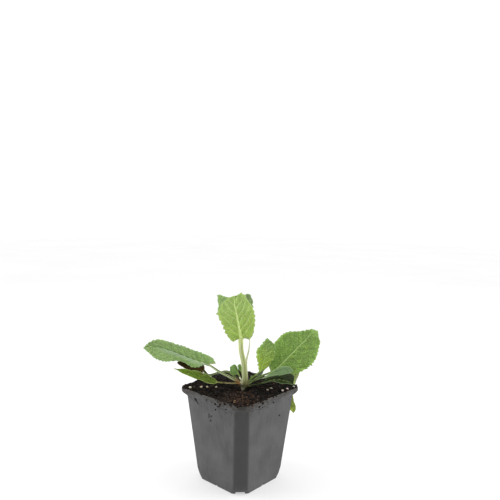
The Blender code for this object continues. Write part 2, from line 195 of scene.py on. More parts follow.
def speck_group():
    """Scattered specks of compost: how much of each spot they cover."""
    inputs = {"Size": "Float", "Amount": "Float"}
    group, given, result = new_group("compost specks", inputs, {"Cover": "Float"})
    place = place_in_mm(group)
    bent = wire(group, "TexNoise", {"Vector": place, "Scale": 1.2})["Color"]
    place = wire(group, "VectorMath", {0: place, 1: bent}, operation="ADD")
    cells = wire(group, "TexVoronoi", {"Vector": place, "Scale": 1 / given["Size"]})
    there = figure("LESS_THAN", split(cells["Color"])[0], given["Amount"])
    feed(result, {"Cover": there * (1 - fade(cells["Distance"], 0.18, 0.34))})
    return group


SPECKS = speck_group()


def specks_on(tree, size, amount):
    return wire(tree, "Group", {"Size": size, "Amount": amount}, node_tree=SPECKS)


def pot_finish():
    finish, tree = new_finish("nursery pot plastic", Roughness=0.55, Specular_IOR_Level=0.42)
    place = place_in_mm(tree)
    x, y, height = split(place)
    broad = cloud(place, 22, 3)
    drawn = cloud(place_in_mm(tree, 1, 1, 0.05), 1.4, 3)
    fine = cloud(place, 0.5)
    # Painted shade: the cut-off corners are darkened, since they face the dim side of the sky.
    beyond = height * -0.204 + (figure("ABSOLUTE", x) + figure("ABSOLUTE", y))
    corner = fade(broad * 2.0 + beyond, 54.8, 58.3)
    film = fade(cloud(place, 5, 5), 0.42, 0.7) * fade(height, 66, 92)
    rim = fade(cloud(place, 6, 4) * 9.0 + height, 91.0, 96.0)
    scratch = fade(cloud(place_in_mm(tree, 0.9, 0.9, 0.13), 0.8), 0.69, 0.74)
    scratch = scratch * fade(cloud(place, 16), 0.5, 0.6)
    specks = specks_on(tree, 1.3, fade(height, 68, 90) * 0.2 + 0.012)
    colour = blend(broad * 2.0 + (drawn * 0.7 - 0.85), shade(54, 54, 55), shade(85, 85, 86))
    # The coats: fine grain, painted shade on the corners, a film of soil, soil on the lip, scratches,
    # specks.
    colour = coated(colour, (fine * 0.16, (101, 101, 101)), (corner * 0.75, (52, 52, 52)),
                    (film * 0.4, (58, 51, 43)), (rim * 0.8, (44, 38, 30)), (scratch * 0.3, (122, 122, 123)),
                    (specks * 0.75, (34, 26, 20)))
    dull = film * 0.2 + (broad * 0.16 + 0.44)
    grain = fine * 0.5 + (drawn * 0.6 + specks)
    return paint(finish, Base_Color=colour, Roughness=dull, Normal=relief(grain, 0.06, 0.8))


def run_along(line):
    """How far each point lies along a line of points."""
    return np.concatenate(([0], np.cumsum(np.linalg.norm(np.diff(line, axis=0), axis=1))))


def read_at(stations, run, rows):
    """Rows of numbers read between the given rows, at these stations of their run."""
    return np.stack([np.interp(stations, run, column) for column in rows.T], axis=1)


def smooth_line(points, steps):
    """Rows of numbers read from a smooth curve through the given rows."""
    rows = [np.array(point, dtype=float) for point in points]
    rows = [2 * rows[0] - rows[1]] + rows + [2 * rows[-1] - rows[-2]]
    curve = []
    for a, b, c, d in zip(rows, rows[1:], rows[2:], rows[3:]):
        for step in range(steps):
            t = step / steps
            curve.append(0.5 * (2 * b + (c - a) * t + (2 * a - 5 * b + 4 * c - d) * t ** 2
                                + (3 * b - a - 3 * c + d) * t ** 3))
    curve.append(rows[-2])
    return np.array(curve)


def straight_line(points, steps):
    rows = np.array(points, dtype=float)
    stations = np.linspace(0, len(rows) - 1, (len(rows) - 1) * steps + 1)
    return read_at(stations, range(len(rows)), rows)


def square_ring(side, leg, height, bulge, bow=0.0):
    """A level square with cut-off corners, as points round it. Its sides may bow out a little."""
    middle = side / 2 - leg
    share = np.linspace(0, 1, CORNER_STEPS + 1)[:, None]
    turn = share * math.pi / 2
    cut = np.hstack((middle + leg * (1 - share), middle + leg * share))
    arc = np.hstack((middle + leg * np.cos(turn), middle + leg * np.sin(turn)))
    across = np.linspace(1, -1, SIDE_STEPS + 1)[1:-1, None]
    flat = np.hstack((middle * across, side / 2 + bow * (1 - across ** 2)))
    quarter = np.vstack((cut * (1 - bulge) + arc * bulge, flat))
    corners = [quarter, quarter[:, ::-1] * (-1, 1), -quarter, quarter[:, ::-1] * (1, -1)]
    ring = np.vstack(corners)
    return np.hstack((ring, np.full((len(ring), 1), float(height))))


def loft_faces(rows, columns):
    """Faces between closed rings of points, and one across each open end."""
    number = np.arange(rows * columns).reshape(rows, columns)
    after = np.roll(number, -1, axis=1)
    sides = np.stack((number[:-1], after[:-1], after[1:], number[1:]), axis=-1).reshape(-1, 4)
    return sides.tolist() + [number[0].tolist(), number[-1].tolist()]


def put_in(name, data):
    """A new object of the scene."""
    made = bpy.data.objects.new(name, data)
    bpy.context.scene.collection.objects.link(made)
    return made


def shifted(faces, count):
    """The same faces, for points that come after this many others."""
    return [[number + count for number in face] for face in faces]


def make_piece(name, points, faces, finish, slot, stands_for, marks=None, sharp=180):
    """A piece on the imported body, from points in millimetres. Marks are values at its points."""
    mesh = bpy.data.meshes.new(name)
    mesh.from_pydata((np.asarray(points) * MM).tolist(), [], faces)
    for label, values in (marks or {}).items():
        layer = mesh.attributes.new(label, "FLOAT_VECTOR", "POINT")
        layer.data.foreach_set("vector", np.asarray(values, dtype=np.float32).ravel())
    body = bmesh.new()
    body.from_mesh(mesh)
    bmesh.ops.recalc_face_normals(body, faces=body.faces)
    body.to_mesh(mesh)
    body.free()
    mesh.materials.append(finish)
    mesh.shade_smooth()
    if sharp < 180:
        mesh.set_sharp_from_angle(angle=math.radians(sharp))
    piece = put_in(name, mesh)
    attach(piece, "root")
    if stands_for:
        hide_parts(*stands_for)
    return piece


def foot_lift(ring):
    """How far the skirt's lower edge is cut away over each point of a ring."""
    x, y = np.abs(ring[:, 0]), np.abs(ring[:, 1])
    from_corner = np.abs(x - y) / math.sqrt(2)
    from_middle = np.minimum(x, y)
    at_corner = np.clip(CORNER_GAP[0] + 0.4 - from_corner, 0, 0.8) / 0.8
    at_middle = np.clip(SIDE_NICK[0] + 0.3 - from_middle, 0, 0.6) / 0.6
    return np.maximum(CORNER_GAP[1] * at_corner, SIDE_NICK[1] * at_middle)


def make_pot():
    rings = []
    start = square_ring(*POT_FOOT[0])
    way = start[:, :2] / np.linalg.norm(start[:, :2], axis=1, keepdims=True)
    for radius, height in CENTRE_FOOT:
        rings.append(np.hstack((way * radius, np.full((len(way), 1), height))))
    for outline in POT_FOOT:
        ring = square_ring(*outline)
        ring[:, 2] = np.maximum(ring[:, 2], foot_lift(ring))
        rings.append(ring)
    wall = np.vstack((straight_line(POT_WALL[:3], 3)[1:], straight_line(POT_WALL[2:], 34)[1:]))
    low, high = POT_WALL[0][2], POT_WALL[-1][2]
    for outline in wall:
        bow = WALL_BOW * math.sin(math.pi * (outline[2] - low) / (high - low))
        rings.append(square_ring(*outline, bow))
    rings += [square_ring(*outline) for outline in smooth_line(POT_LIP, 3)[1:]]
    rings += [square_ring(*outline) for outline in POT_INSIDE]
    pot = make_piece("nursery_pot", np.vstack(rings), loft_faces(len(rings), len(start)), pot_finish(),
                     "pot_plastic", ["pot"], sharp=50)
    rods = bmesh.new()
    for radius, reach, turn in DRAINS:
        for quarter in range(4):
            place = Matrix.Rotation(math.radians(turn + 90 * quarter), 4, "Z")
            place = place @ Matrix.Translation((reach * MM, 0, DRAIN_MIDDLE * MM))
            bmesh.ops.create_cone(rods, cap_ends=True, segments=32, radius1=radius * MM,
                                  radius2=radius * MM, depth=DRAIN_DEPTH * MM, matrix=place)
    mesh = bpy.data.meshes.new("drain rods")
    rods.to_mesh(mesh)
    rods.free()
    cutter = put_in("drain rods", mesh)
    cutter.hide_render = True
    holes = pot.modifiers.new("drain holes", "BOOLEAN")
    holes.operation = "DIFFERENCE"
    holes.object = cutter
    bpy.context.view_layer.update()
    drilled = bpy.data.meshes.new_from_object(pot.evaluated_get(bpy.context.evaluated_depsgraph_get()))
    pot.modifiers.clear()
    pot.data = drilled
    bpy.data.objects.remove(cutter)


make_pot()

# The compost: dark peat with bark crumbs and reddish fibres, filled in loose and heaped over
# the front corner, with a hollow round the stem. It is a rough bed with loose crumbs and
# fibres scattered on it, and some that fell over the rim stick to the pot's wall.
STEM_PLACE = np.array((2.0, 2.0, 0.0))
SOIL_LEVEL = 89.4
SOIL_MOUNDS = ((26, -29, 20, 2.6), (-34, -14, 16, 2), (10, 34, 18, 2), (-26, 22, 20, 1.6), (3, 0, 12, -1.6),
               (36, -37, 9, 1.6), (-39, -22, 9, 2.2), (-39, 6, 15, 2.4))
SOIL_EDGE = (85.4, 8.6, 0, 1)
SOIL_RINGS = 84
BED_BOTTOM = 85.5
BED_COLUMNS = 480


def patches(x, y, size, seed):
    """Smooth random values from -1 to 1, in patches of about this size."""
    table = np.random.default_rng(seed).uniform(-1, 1, (64, 64))
    across, along = np.asarray(x) / size, np.asarray(y) / size
    column, row = np.floor(across).astype(int), np.floor(along).astype(int)
    a, b = across - column, along - row
    a, b = a * a * (3 - 2 * a), b * b * (3 - 2 * b)

    def at(i, j):
        return table[(column + i) % 64, (row + j) % 64]

    return (at(0, 0) * (1 - a) + at(1, 0) * a) * (1 - b) + (at(0, 1) * (1 - a) + at(1, 1) * a) * b


def clods(x, y, size, seed):
    """Distances in millimetres to the nearest scattered point, and from there to its border."""
    table = np.random.default_rng(seed).uniform(0.08, 0.92, (64, 64, 2))
    across, along = np.asarray(x) / size, np.asarray(y) / size
    column, row = np.floor(across).astype(int), np.floor(along).astype(int)
    away = []
    for i in (-1, 0, 1):
        for j in (-1, 0, 1):
            point = table[(column + i) % 64, (row + j) % 64]
            away.append(np.hypot(column + i + point[..., 0] - across, row + j + point[..., 1] - along))
    away = np.sort(np.array(away), axis=0)
    return away[0] * size, (away[1] - away[0]) * size


def hill(away, width):
    """1 in the middle of a soft hill, and next to 0 from twice its width away."""
    return np.exp(-(away / width) ** 2)


def bed_height(x, y):
    height = np.full(np.shape(x), SOIL_LEVEL)
    for mound_x, mound_y, radius, rise in SOIL_MOUNDS:
        height = height + rise * hill(np.hypot(x - mound_x, y - mound_y), radius)
    nearest, border = clods(x + patches(x, y, 3, 4), y + patches(x, y, 3, 5), 3.6, 6)
    small = clods(x, y, 1.5, 7)[0]
    height = height + 0.9 * hill(nearest, 1.5) - 0.7 * hill(border, 0.35)
    height = height + 0.5 * hill(small, 0.55) + 0.8 * patches(x, y, 7, 8)
    return height + 0.35 * patches(x, y, 1.8, 9) + 0.2 * patches(x, y, 0.8, 10)


def marks_on(tree, label):
    """The three values that a piece carries at its points under this name."""
    return split(wire(tree, "Attribute", {}, attribute_name=label)["Vector"])


def soil_finish(name, tones, wet):
    """Peat: its tone runs through the given colours, and wet bits are glossier."""
    finish, tree = new_finish(name, Roughness=0.9, Specular_IOR_Level=0.15)
    place = place_in_mm(tree)
    own = marks_on(tree, "crumb_tone")[0]
    tone = cloud(place, 1.6, 6, 0.65) * 0.55 + own * 0.75
    through = wire(tree, "ValToRGB", {0: tone})
    stops = through.socket.node.color_ramp.elements
    for number, (position, colour) in enumerate(tones):
        stop = stops[number] if number < 2 else stops.new(position)
        stop.position = position
        stop.color = colour
    fine = cloud(place, 0.25, 4, 0.7)
    colour = coated(through, (fade(fine, 0.62, 0.85), (66, 52, 43)))
    damp = fade(cloud(place, 4, 3), 0.45, 0.65)
    return paint(finish, Base_Color=colour, Roughness=damp * -wet + 0.92, Normal=relief(fine, 0.25))


def make_bed():
    edge = square_ring(*SOIL_EDGE)[:, :2]
    closed = np.vstack((edge, edge[:1]))
    run = run_along(closed)
    edge = read_at(np.linspace(0, run[-1], BED_COLUMNS, endpoint=False), run, closed)
    rings = [np.hstack((edge * 0.9, np.full((BED_COLUMNS, 1), BED_BOTTOM)))]
    for share in np.linspace(1, 0.012, SOIL_RINGS):
        x, y = (STEM_PLACE[:2] + (edge - STEM_PLACE[:2]) * share).T
        shift = min(1, 12 * (1 - share))
        rings.append(np.stack((x + 0.35 * patches(x, y, 1.3, 11) * shift,
                               y + 0.35 * patches(x, y, 1.3, 12) * shift, bed_height(x, y)), axis=1))
    points = np.vstack(rings)
    tone = 0.32 + 0.3 * patches(points[:, 0], points[:, 1], 5, 13)
    front = hill(np.hypot(points[:, 0] - 32, points[:, 1] + 34), 24)
    marks = np.stack((tone + 0.45 * front, front, front), axis=1)
    tones = ((0.25, shade(8, 7, 6)), (0.62, shade(22, 17, 13)), (0.95, shade(48, 34, 28)))
    make_piece("compost_bed", points, loft_faces(len(rings), BED_COLUMNS),
               soil_finish("peat bed", tones, 0.35), "compost", ["compost"], {"crumb_tone": marks})


def ball_shape(subdivisions):
    """Points and faces of a ball of radius 1."""
    ball = bmesh.new()
    bmesh.ops.create_icosphere(ball, subdivisions=subdivisions, radius=1)
    points = np.array([vert.co[:] for vert in ball.verts])
    faces = [[vert.index for vert in face.verts] for face in ball.faces]
    ball.free()
    return points, faces


def waves(points, pace, rng):
    """Soft random waves that run through space, read at these points."""
    return np.sin(points @ rng.normal(0, pace, (3, 3)) + rng.uniform(0, 6, 3)).sum(axis=1)[:, None]


def heap(places, sizes, tones, rng, squash):
    """Rough crumbs of these sizes at these places, as one set of points, faces and tones."""
    points, faces, marks, count = [], [], [], 0
    for place, size, tone in zip(places, sizes, tones):
        ball, ball_faces = ball_shape(2 if size > 0.75 else 1)
        lump = 1 + 0.3 * waves(ball, 2.4, rng) / 1.7
        turn = np.array(Matrix.Rotation(rng.uniform(0, 6.28), 3, Vector(rng.normal(0, 1, 3))))
        ball = (ball * lump * size * rng.uniform(squash, 1, 3)) @ turn
        points.append(ball + place)
        faces += shifted(ball_faces, count)
        marks.append(np.full((len(ball), 3), tone))
        count += len(ball)
    return np.vstack(points), faces, np.vstack(marks)


CRUMB_TONES = ((0.2, shade(7, 6, 5)), (0.55, shade(24, 18, 14)), (0.85, shade(60, 42, 35)),
               (1.0, shade(124, 100, 76)))
# loose bits lie this far out at most, in each direction and in both added up
LOOSE_REACH, CORNER_REACH = 41.5, 78
FRONT_HEAP = (30, -32)
CRUMB_COUNT = 1700
RIM_CRUMBS = 1100
LIP_EDGE = (87.8, 9, 91.8, 1)
# Crumbs stuck under the front of the lip: face (0 left, 1 right), distance from the front
# corner, height, radius
WALL_CRUMBS = ((0, 32, 87.8, 1.1), (0, 28.5, 90.5, 1), (0, 25.5, 88.8, 1.2), (0, 30.4, 85.2, 0.9),
               (0, 27, 86.5, 0.8), (0, 34.1, 80.6, 0.9), (0, 19.7, 85.1, 0.8), (0, 42.6, 73, 0.45),
               (0, 41.1, 71.4, 0.5), (0, 39.9, 72.7, 0.4), (0, 43.3, 68.6, 0.4), (0, 41.2, 67.1, 0.5),
               (0, 63.1, 81, 0.5), (0, 44, 88.5, 0.8), (0, 37.3, 88, 0.7), (0, 8.5, 88.7, 0.6),
               (1, 20.4, 87.8, 1.1), (1, 25.2, 89.9, 1.3), (1, 32.2, 89.1, 0.9), (1, 31, 84.8, 0.7),
               (1, 35.5, 86.1, 0.7), (1, 27.4, 85.3, 0.8), (1, 9.9, 89.2, 0.7), (1, 14, 85.1, 0.6),
               (1, 6.5, 88.7, 0.6), (1, 23.9, 83.3, 0.5), (1, 41.3, 86.6, 1), (1, 53.7, 68.9, 0.9),
               (1, 45.2, 69.3, 0.4), (1, 68.7, 81.3, 0.5))
WALL_SPECKS = 70


def wall_place(face, from_corner, height, proud):
    """A place on the pot's left (0) or right (1) face, as seen from its front corner."""
    outline = np.array(POT_WALL[2:] + POT_LIP[1:7])
    half = np.interp(height, outline[:, 2], outline[:, 0]) / 2 + proud
    along = np.interp(min(height, 84), outline[:, 2], outline[:, 0]) / 2 - from_corner
    return (half, -along, height) if face else (along, -half, height)


def make_crumbs():
    rng = np.random.default_rng(21)
    spread = rng.uniform(-LOOSE_REACH, LOOSE_REACH, (CRUMB_COUNT * 2, 2))
    front = np.hypot(spread[:, 0] - FRONT_HEAP[0], spread[:, 1] - FRONT_HEAP[1])
    wanted = rng.random(len(spread)) < 0.35 + 0.65 * hill(front, 22)
    wanted = (np.abs(spread).sum(axis=1) < CORNER_REACH) & wanted
    spread = spread[wanted]
    near = hill(front[wanted], 24)
    sizes = np.clip(rng.lognormal(-0.6, 0.42, len(spread)) * (1 + 0.35 * near), 0.25, 1.7)
    height = bed_height(spread[:, 0], spread[:, 1]) + 0.25 * sizes
    tones = np.clip(rng.normal(0.26, 0.28, len(spread)) + 0.26 * near, 0, 1)
    loose = heap(np.column_stack((spread, height)), sizes, tones, rng, 0.5)
    finish = soil_finish("peat crumbs", CRUMB_TONES, 0.3)
    make_piece("compost_crumbs", *loose[:2], finish, "compost", [], {"crumb_tone": loose[2]})

    rows = [*WALL_CRUMBS]
    for _ in range(WALL_SPECKS):
        face, reach = rng.integers(2), abs(rng.normal(24, 11))
        rows.append((face, max(reach, 5), 89 - abs(rng.normal(0, 6)), rng.uniform(0.2, 0.42)))
    places = [wall_place(face, reach, height, 0.25 * size) for face, reach, height, size in rows]
    sizes = [row[3] for row in rows]
    lip = square_ring(*LIP_EDGE)
    edge = np.vstack([np.linspace(a, b, 12, endpoint=False) for a, b in zip(lip, np.roll(lip, -1, axis=0))])
    spot = edge[rng.integers(len(edge), size=RIM_CRUMBS)]
    beside = spot[:, 0] + spot[:, 1]
    corner = hill(beside, 10)
    hang = hill(beside + 8, 32) * (1 - 0.85 * corner)
    hang = rng.uniform(-2.4, 2.1, RIM_CRUMBS) * hang - 0.4 - 0.9 * corner
    spot[:, :2] *= 1 + np.minimum(hang, 0.1)[:, None] / 44
    spot[:, 2] -= np.maximum(hang, 0)
    kept = rng.random(RIM_CRUMBS) < np.where(spot[:, 0] - spot[:, 1] > 50, 1, 0.25)
    places = np.vstack((places, spot[kept]))
    sizes = np.concatenate((sizes, np.clip(rng.lognormal(-0.55, 0.4, kept.sum()), 0.3, 1.3)))
    tones = np.clip(rng.normal(0.3, 0.26, len(places)), 0, 1)
    spilled = heap(places, sizes, tones, rng, 0.55)
    make_piece("spilled_compost", *spilled[:2], finish, "compost", [], {"crumb_tone": spilled[2]})


FIBRE_COUNT = 200
FIBRE_STEPS = 8
# Dark fibres stuck on the wall: face, then distance from the front corner and height of each end
WALL_FIBRES = ((0, 62.5, 86, 58.5, 79.5), (0, 64, 84.5, 61.5, 82.5), (0, 43.5, 74.5, 42.5, 69.5),
               (0, 41, 69, 40, 66.5), (0, 39.5, 73.5, 39, 71.5))


def unit_rows(rows):
    return rows / np.linalg.norm(rows, axis=1, keepdims=True)


def make_fibres():
    """Thin bent root and bark fibres: most lie on the bed's front, and a few stick to the wall."""
    rng = np.random.default_rng(34)
    points, faces, marks = [], [], []
    step = np.linspace(-0.5, 0.5, FIBRE_STEPS)
    taper = (1 - 1.6 * step ** 2)[:, None]

    def lay(line, side, up, thick, tone):
        ring = [line + thick * side, line + thick * up, line - thick * side, line - thick * up]
        faces.extend(shifted(loft_faces(FIBRE_STEPS, 4), 4 * FIBRE_STEPS * len(marks)))
        points.append(np.stack(ring, axis=1).reshape(-1, 3))
        marks.append(np.full((4 * FIBRE_STEPS, 3), tone))

    while len(marks) < FIBRE_COUNT:
        at_front = rng.random() < 0.6
        middle = rng.normal((28, -30), 9) if at_front else rng.uniform(-38, 38, 2)
        way, length, bend = rng.uniform(0, 6.28), rng.uniform(2.5, 9), rng.normal(0, 0.5)
        turn = way + bend * step * 2
        flat = middle + np.stack((np.cos(turn) * step * length, np.sin(turn) * step * length), axis=1)
        if np.abs(flat).max() > LOOSE_REACH or np.abs(flat).sum(axis=1).max() > CORNER_REACH + 1:
            continue
        lift = 0.5 + rng.uniform(0, 0.7) * np.cos(step * math.pi)
        line = np.column_stack((flat, bed_height(flat[:, 0], flat[:, 1]).mean() + lift))
        side = np.stack((-np.sin(turn), np.cos(turn), 0 * turn), axis=1)
        lay(line, side, np.array((0, 0, 1.0)), rng.uniform(0.07, 0.2) * taper, rng.uniform(0.45, 1.0))
    for face, first_reach, first_height, last_reach, last_height in WALL_FIBRES:
        reach = np.linspace(first_reach, last_reach, FIBRE_STEPS)
        height = np.linspace(first_height, last_height, FIBRE_STEPS)
        line = [wall_place(face, a + 0.3 * math.sin(b), b, 0.2) for a, b in zip(reach, height)]
        out = np.array((1.0, 0, 0) if face else (0, -1.0, 0))
        way = unit_rows(np.gradient(np.array(line), axis=0))
        lay(np.array(line), np.cross(way, out), out, 0.42 * taper, 0.1)
    tones = ((0.3, shade(28, 20, 16)), (0.7, shade(66, 46, 37)), (1.0, shade(112, 86, 66)))
    make_piece("compost_fibres", np.vstack(points), faces, soil_finish("peat fibres", tones, 0.2),
               "compost", [], {"crumb_tone": np.vstack(marks)})


make_bed()
make_crumbs()
make_fibres()

# The grains: pale mineral grit mixed into the compost, worn round and a little dusty. They lie
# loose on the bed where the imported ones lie.
GRAIN_TINTS = ((252, 248, 224), (236, 230, 196), (226, 218, 184), (216, 206, 174), (236, 226, 208),
               (200, 196, 176), (252, 240, 228), (250, 226, 214), (232, 230, 208))


def grain_finish(number, tint):
    finish, tree = new_finish(f"mineral grit {number}", Roughness=0.5, Subsurface_Weight=0.15,
                              Subsurface_Scale=0.0006)
    place = place_in_mm(tree)
    colour = blend(cloud(place, 0.8, 4), shade(*[value * 0.82 for value in tint]), shade(*tint))
    dust = specks_on(tree, 0.5, 0.15)
    colour = coated(colour, (dust * 0.6, (70, 54, 40)))
    rough = relief(cloud(place, 0.35, 3), 0.12)
    return paint(finish, Base_Color=colour, Roughness=dust * 0.3 + 0.45, Normal=rough)


def make_grains():
    rng = np.random.default_rng(55)
    for number, tint in enumerate(GRAIN_TINTS, start=1):
        low, high = (np.array(corner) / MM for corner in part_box(f"grain_{number}"))
        middle, radius = (low + high) / 2, (high - low)[0] / 2
        points, faces = ball_shape(4)
        lumps, pits = waves(points, 2.0, rng), waves(points, 6.0, rng)
        points = points * (1 + 0.1 * lumps + 0.03 * pits) * radius * (1.05, 0.95, 0.86)
        points[:, 2] -= 0.14 * radius
        make_piece(f"grit_{number}", points + middle, faces, grain_finish(number, tint), "grain",
                   [f"grain_{number}"])


make_grains()

# The crown: the very short green stem that every leaf stalk grows from, with a pale ribbed neck
# above the compost, scars and a dry brown stub where old leaves broke off, and papery scales.
CROWN = ((1.7, 85), (1.7, 88), (1.8, 90), (2.1, 91.6), (3.2, 93.2), (4.2, 94.4), (4.3, 95.2), (3.2, 96.4),
         (2.4, 97.4), (1.5, 98.3), (0.35, 98.9))
CROWN_COLUMNS = 72
SCALE_ROWS, SCALE_COLUMNS = 9, 12
# heading, reach, height, length, width, bend of each dry scale or stub at the crown's foot
SCALES = ((222, 4.3, 94.2, 5, 1.5, 0.5), (214, 2, 98.8, 3.4, 1.5, 0.3), (262, 3.6, 93.2, 3.6, 1.2, 0.2),
          (345, 3.8, 93.4, 3.2, 1.1, 0.3), (130, 4, 93.6, 3.4, 1.2, 0.4), (40, 4, 93.5, 3.8, 1.2, 0.2))


def crown_finish():
    finish, tree = new_finish("crown green", Roughness=0.5, Subsurface_Weight=0.2, Subsurface_Scale=0.001)
    place = place_in_mm(tree)
    streak = cloud(place_in_mm(tree, 1, 1, 0.15), 0.5, 3)
    colour = blend(streak, shade(150, 158, 118), shade(204, 208, 178))
    scar = fade(cloud(place, 1.6, 3), 0.52, 0.62)
    soiled = fade(cloud(place, 1.2, 3) * -5.0 + split(place)[2], 87.0, 84.0)
    specks = specks_on(tree, 0.8, 0.25)
    colour = coated(colour, (scar * 0.55, (150, 104, 62)), (soiled, (70, 52, 36)),
                    (specks * 0.6, (48, 34, 24)))
    return paint(finish, Base_Color=colour, Roughness=streak * 0.3 + 0.38, Normal=relief(streak, 0.25))


def scale_finish():
    finish, tree = new_finish("papery scale", Roughness=0.7)
    place = place_in_mm(tree)
    streak = cloud(place, 0.5, 4)
    dry = blend(streak, shade(120, 74, 36), shade(206, 176, 120))
    bleached = blend(fade(split(place)[2], 97.8, 98.4), dry, shade(232, 230, 212))
    return paint(finish, Base_Color=bleached, Normal=relief(streak, 0.2))


def make_crown():
    outline = smooth_line(CROWN, 7)
    turn = np.linspace(0, 2 * math.pi, CROWN_COLUMNS, endpoint=False)
    rings = []
    for radius, height in outline:
        level = np.full(CROWN_COLUMNS, height)
        ribs = 1 + 0.07 * np.sin(6 * turn + height * 0.5) + 0.03 * np.sin(17 * turn + height)
        lumps = 0.14 * patches(turn * 2.5 + 40, level, 1.1, 61)
        reach = np.maximum(radius * ribs + lumps * min(radius, 1.5), 0.2)
        rings.append(np.stack((reach * np.cos(turn), reach * np.sin(turn), level), axis=1))
    points = np.vstack(rings) + STEM_PLACE
    make_piece("crown", points, loft_faces(len(rings), CROWN_COLUMNS), crown_finish(), "stem", ["stem"])


def ways(heading):
    """The level way out on this heading, and the one to its left."""
    turn = math.radians(heading)
    return np.array(((math.cos(turn), math.sin(turn), 0), (-math.sin(turn), math.cos(turn), 0)))


def make_scales():
    rows, faces = [], []
    turns = np.linspace(0, 2 * math.pi, SCALE_COLUMNS, endpoint=False)
    for number, (heading, reach, height, length, width, bend) in enumerate(SCALES):
        out, side = ways(heading)
        for share in np.linspace(0, 1, SCALE_ROWS):
            half = width * math.sin(math.pi * min(0.25 + 0.72 * share, 1)) ** 0.8
            middle = STEM_PLACE + out * (reach + length * 0.6 * share)
            middle = middle + (0, 0, height + length * (share - bend * share ** 2))
            curl = 0.22 * np.sin(turns) + 0.35 * half * np.cos(2 * turns)
            rows.append(middle + np.outer(half * np.cos(turns), side) + np.outer(curl, out))
        faces += shifted(loft_faces(SCALE_ROWS, SCALE_COLUMNS), SCALE_ROWS * SCALE_COLUMNS * number)
    make_piece("crown_scales", np.vstack(rows), faces, scale_finish(), "stem", [], sharp=60)


make_crown()
make_scales()

# The two upright leaves: soft, hairy, net-veined blades on channelled stalks. The front one
# turns its pale underside, with a raised pale midrib, to the front, on a broad stalk whose two
# tones are the painted light and shade of its lit and shaded sides. The rear one is darker,
# stands close behind it and bends its tip back over.
# A blade's half widths are given at these shares of its midrib, and are nowhere below the least.
STATIONS = (0.0, 0.07, 0.22, 0.4, 0.6, 0.8, 0.93, 1.0)
LEAST_HALF = 0.25
# each span of a midrib is read in so many steps, and each of its foot's two spans in fewer
SPAN_STEPS, FOOT_STEPS = 16, 6
# rows on the stalk lie this far apart, and where it turns into the blade they go from, to, by
STALK_SPACING = 0.9
NECK_ROWS = (-2, 3, 0.3)
FOOT_DROP = 2.4
FOOT_LOWEST = 88.4
QUILT_RISE = 0.36
RIDGE_DEPTH, NET_DEPTH = 0.3, 0.12
# What a leaf has where its own call doesn't say otherwise: how many spans of its line are stalk,
# the roll at its base and tip and the fold of its halves in degrees, how far each half reaches
# back past the base (lobe) and up past the tip, depth and length of the ruffles, size of the
# net's meshes, strength of quilting and crumpling, half the skin's thickness, spacing of the
# rows, and spurs (1 left or -1 right, share of the midrib, length, breadth).
LEAF_PLAIN = dict(stalk_spans=1, roll=(0, 0), trough=3, lobe=(0, 0), tip_rise=(0, 0), ruffle=(0.8, 12),
                  net=1.8, quilt=1, crumple=0, skin=0.22, spacing=0.4, spurs=())


def soft_step(value, low, high):
    share = np.clip((value - low) / (high - low), 0, 1)
    return share * share * (3 - 2 * share)


def leaf_line(leaf):
    """Distances along a leaf, negative on its stalk, with the place and ways of each there."""
    out, level = ways(leaf["heading"])
    line = [out * reach + level * drift + (0, 0, height) for reach, drift, height in leaf["line"]]
    line = smooth_line(line, SPAN_STEPS)
    root = line[0] * (0.2, 0.2, 1) - (0, 0, FOOT_DROP)
    root[2] = max(root[2], FOOT_LOWEST)
    middle = line[0] * (0.82, 0.82, 1) - (0, 0, 0.45 * (line[0][2] - root[2]))
    foot = smooth_line([root, middle, line[0], line[1] + 4 * (line[1] - line[0])], FOOT_STEPS)
    foot = foot[:2 * FOOT_STEPS]
    line = np.vstack((foot, line)) + STEM_PLACE
    run = run_along(line)
    stalk = run[len(foot) + leaf["stalk_spans"] * SPAN_STEPS]
    blade = run[-1] - stalk
    along = np.concatenate((np.arange(-stalk, NECK_ROWS[0], STALK_SPACING), np.arange(*NECK_ROWS),
                            np.arange(NECK_ROWS[1], blade, leaf["spacing"]), [blade]))
    centre, before, after = (read_at(along + stalk + step, run, line) for step in (0, -1, 1))
    tangent = unit_rows(after - before)
    side = unit_rows(level - (tangent @ level)[:, None] * tangent)
    upper = np.cross(tangent, side)
    roll_base, roll_tip = np.radians(leaf["roll"])
    roll = (roll_base + (roll_tip - roll_base) * np.clip(along / blade, 0, 1))[:, None]
    side, upper = side * np.cos(roll) + upper * np.sin(roll), upper * np.cos(roll) - side * np.sin(roll)
    return along, stalk, blade, centre, tangent, side, upper


def toothed(along, width, leaf, hand, seed):
    """How far the teeth of one margin stand out from its mean line, row by row."""
    pitch, depth = leaf["teeth"]
    run = np.concatenate(([0], np.cumsum(np.hypot(np.diff(along), np.diff(width)))))
    phase = run / pitch + 0.35 * patches(run, 0 * run, 9, seed)
    bite = phase - np.floor(phase)
    shape = np.sin(math.pi * bite ** 0.7) ** 0.75 - 0.55
    small = np.abs(np.sin(phase * math.pi * 2.6)) - 0.5
    size = 0.75 + 0.6 * patches(phase, 0 * run, 1.6, seed + 1)
    teeth = depth * (shape * size + 0.3 * small) * soft_step(along, 0.5, 4) * np.clip(width / 4, 0, 1)
    spurs = 0 * along
    for spur_hand, share, length, breadth in leaf["spurs"]:
        if spur_hand == hand:
            spurs = spurs + length * np.clip(1 - np.abs(along - share * along[-1]) / breadth, 0, 1) ** 1.3
    return teeth + spurs


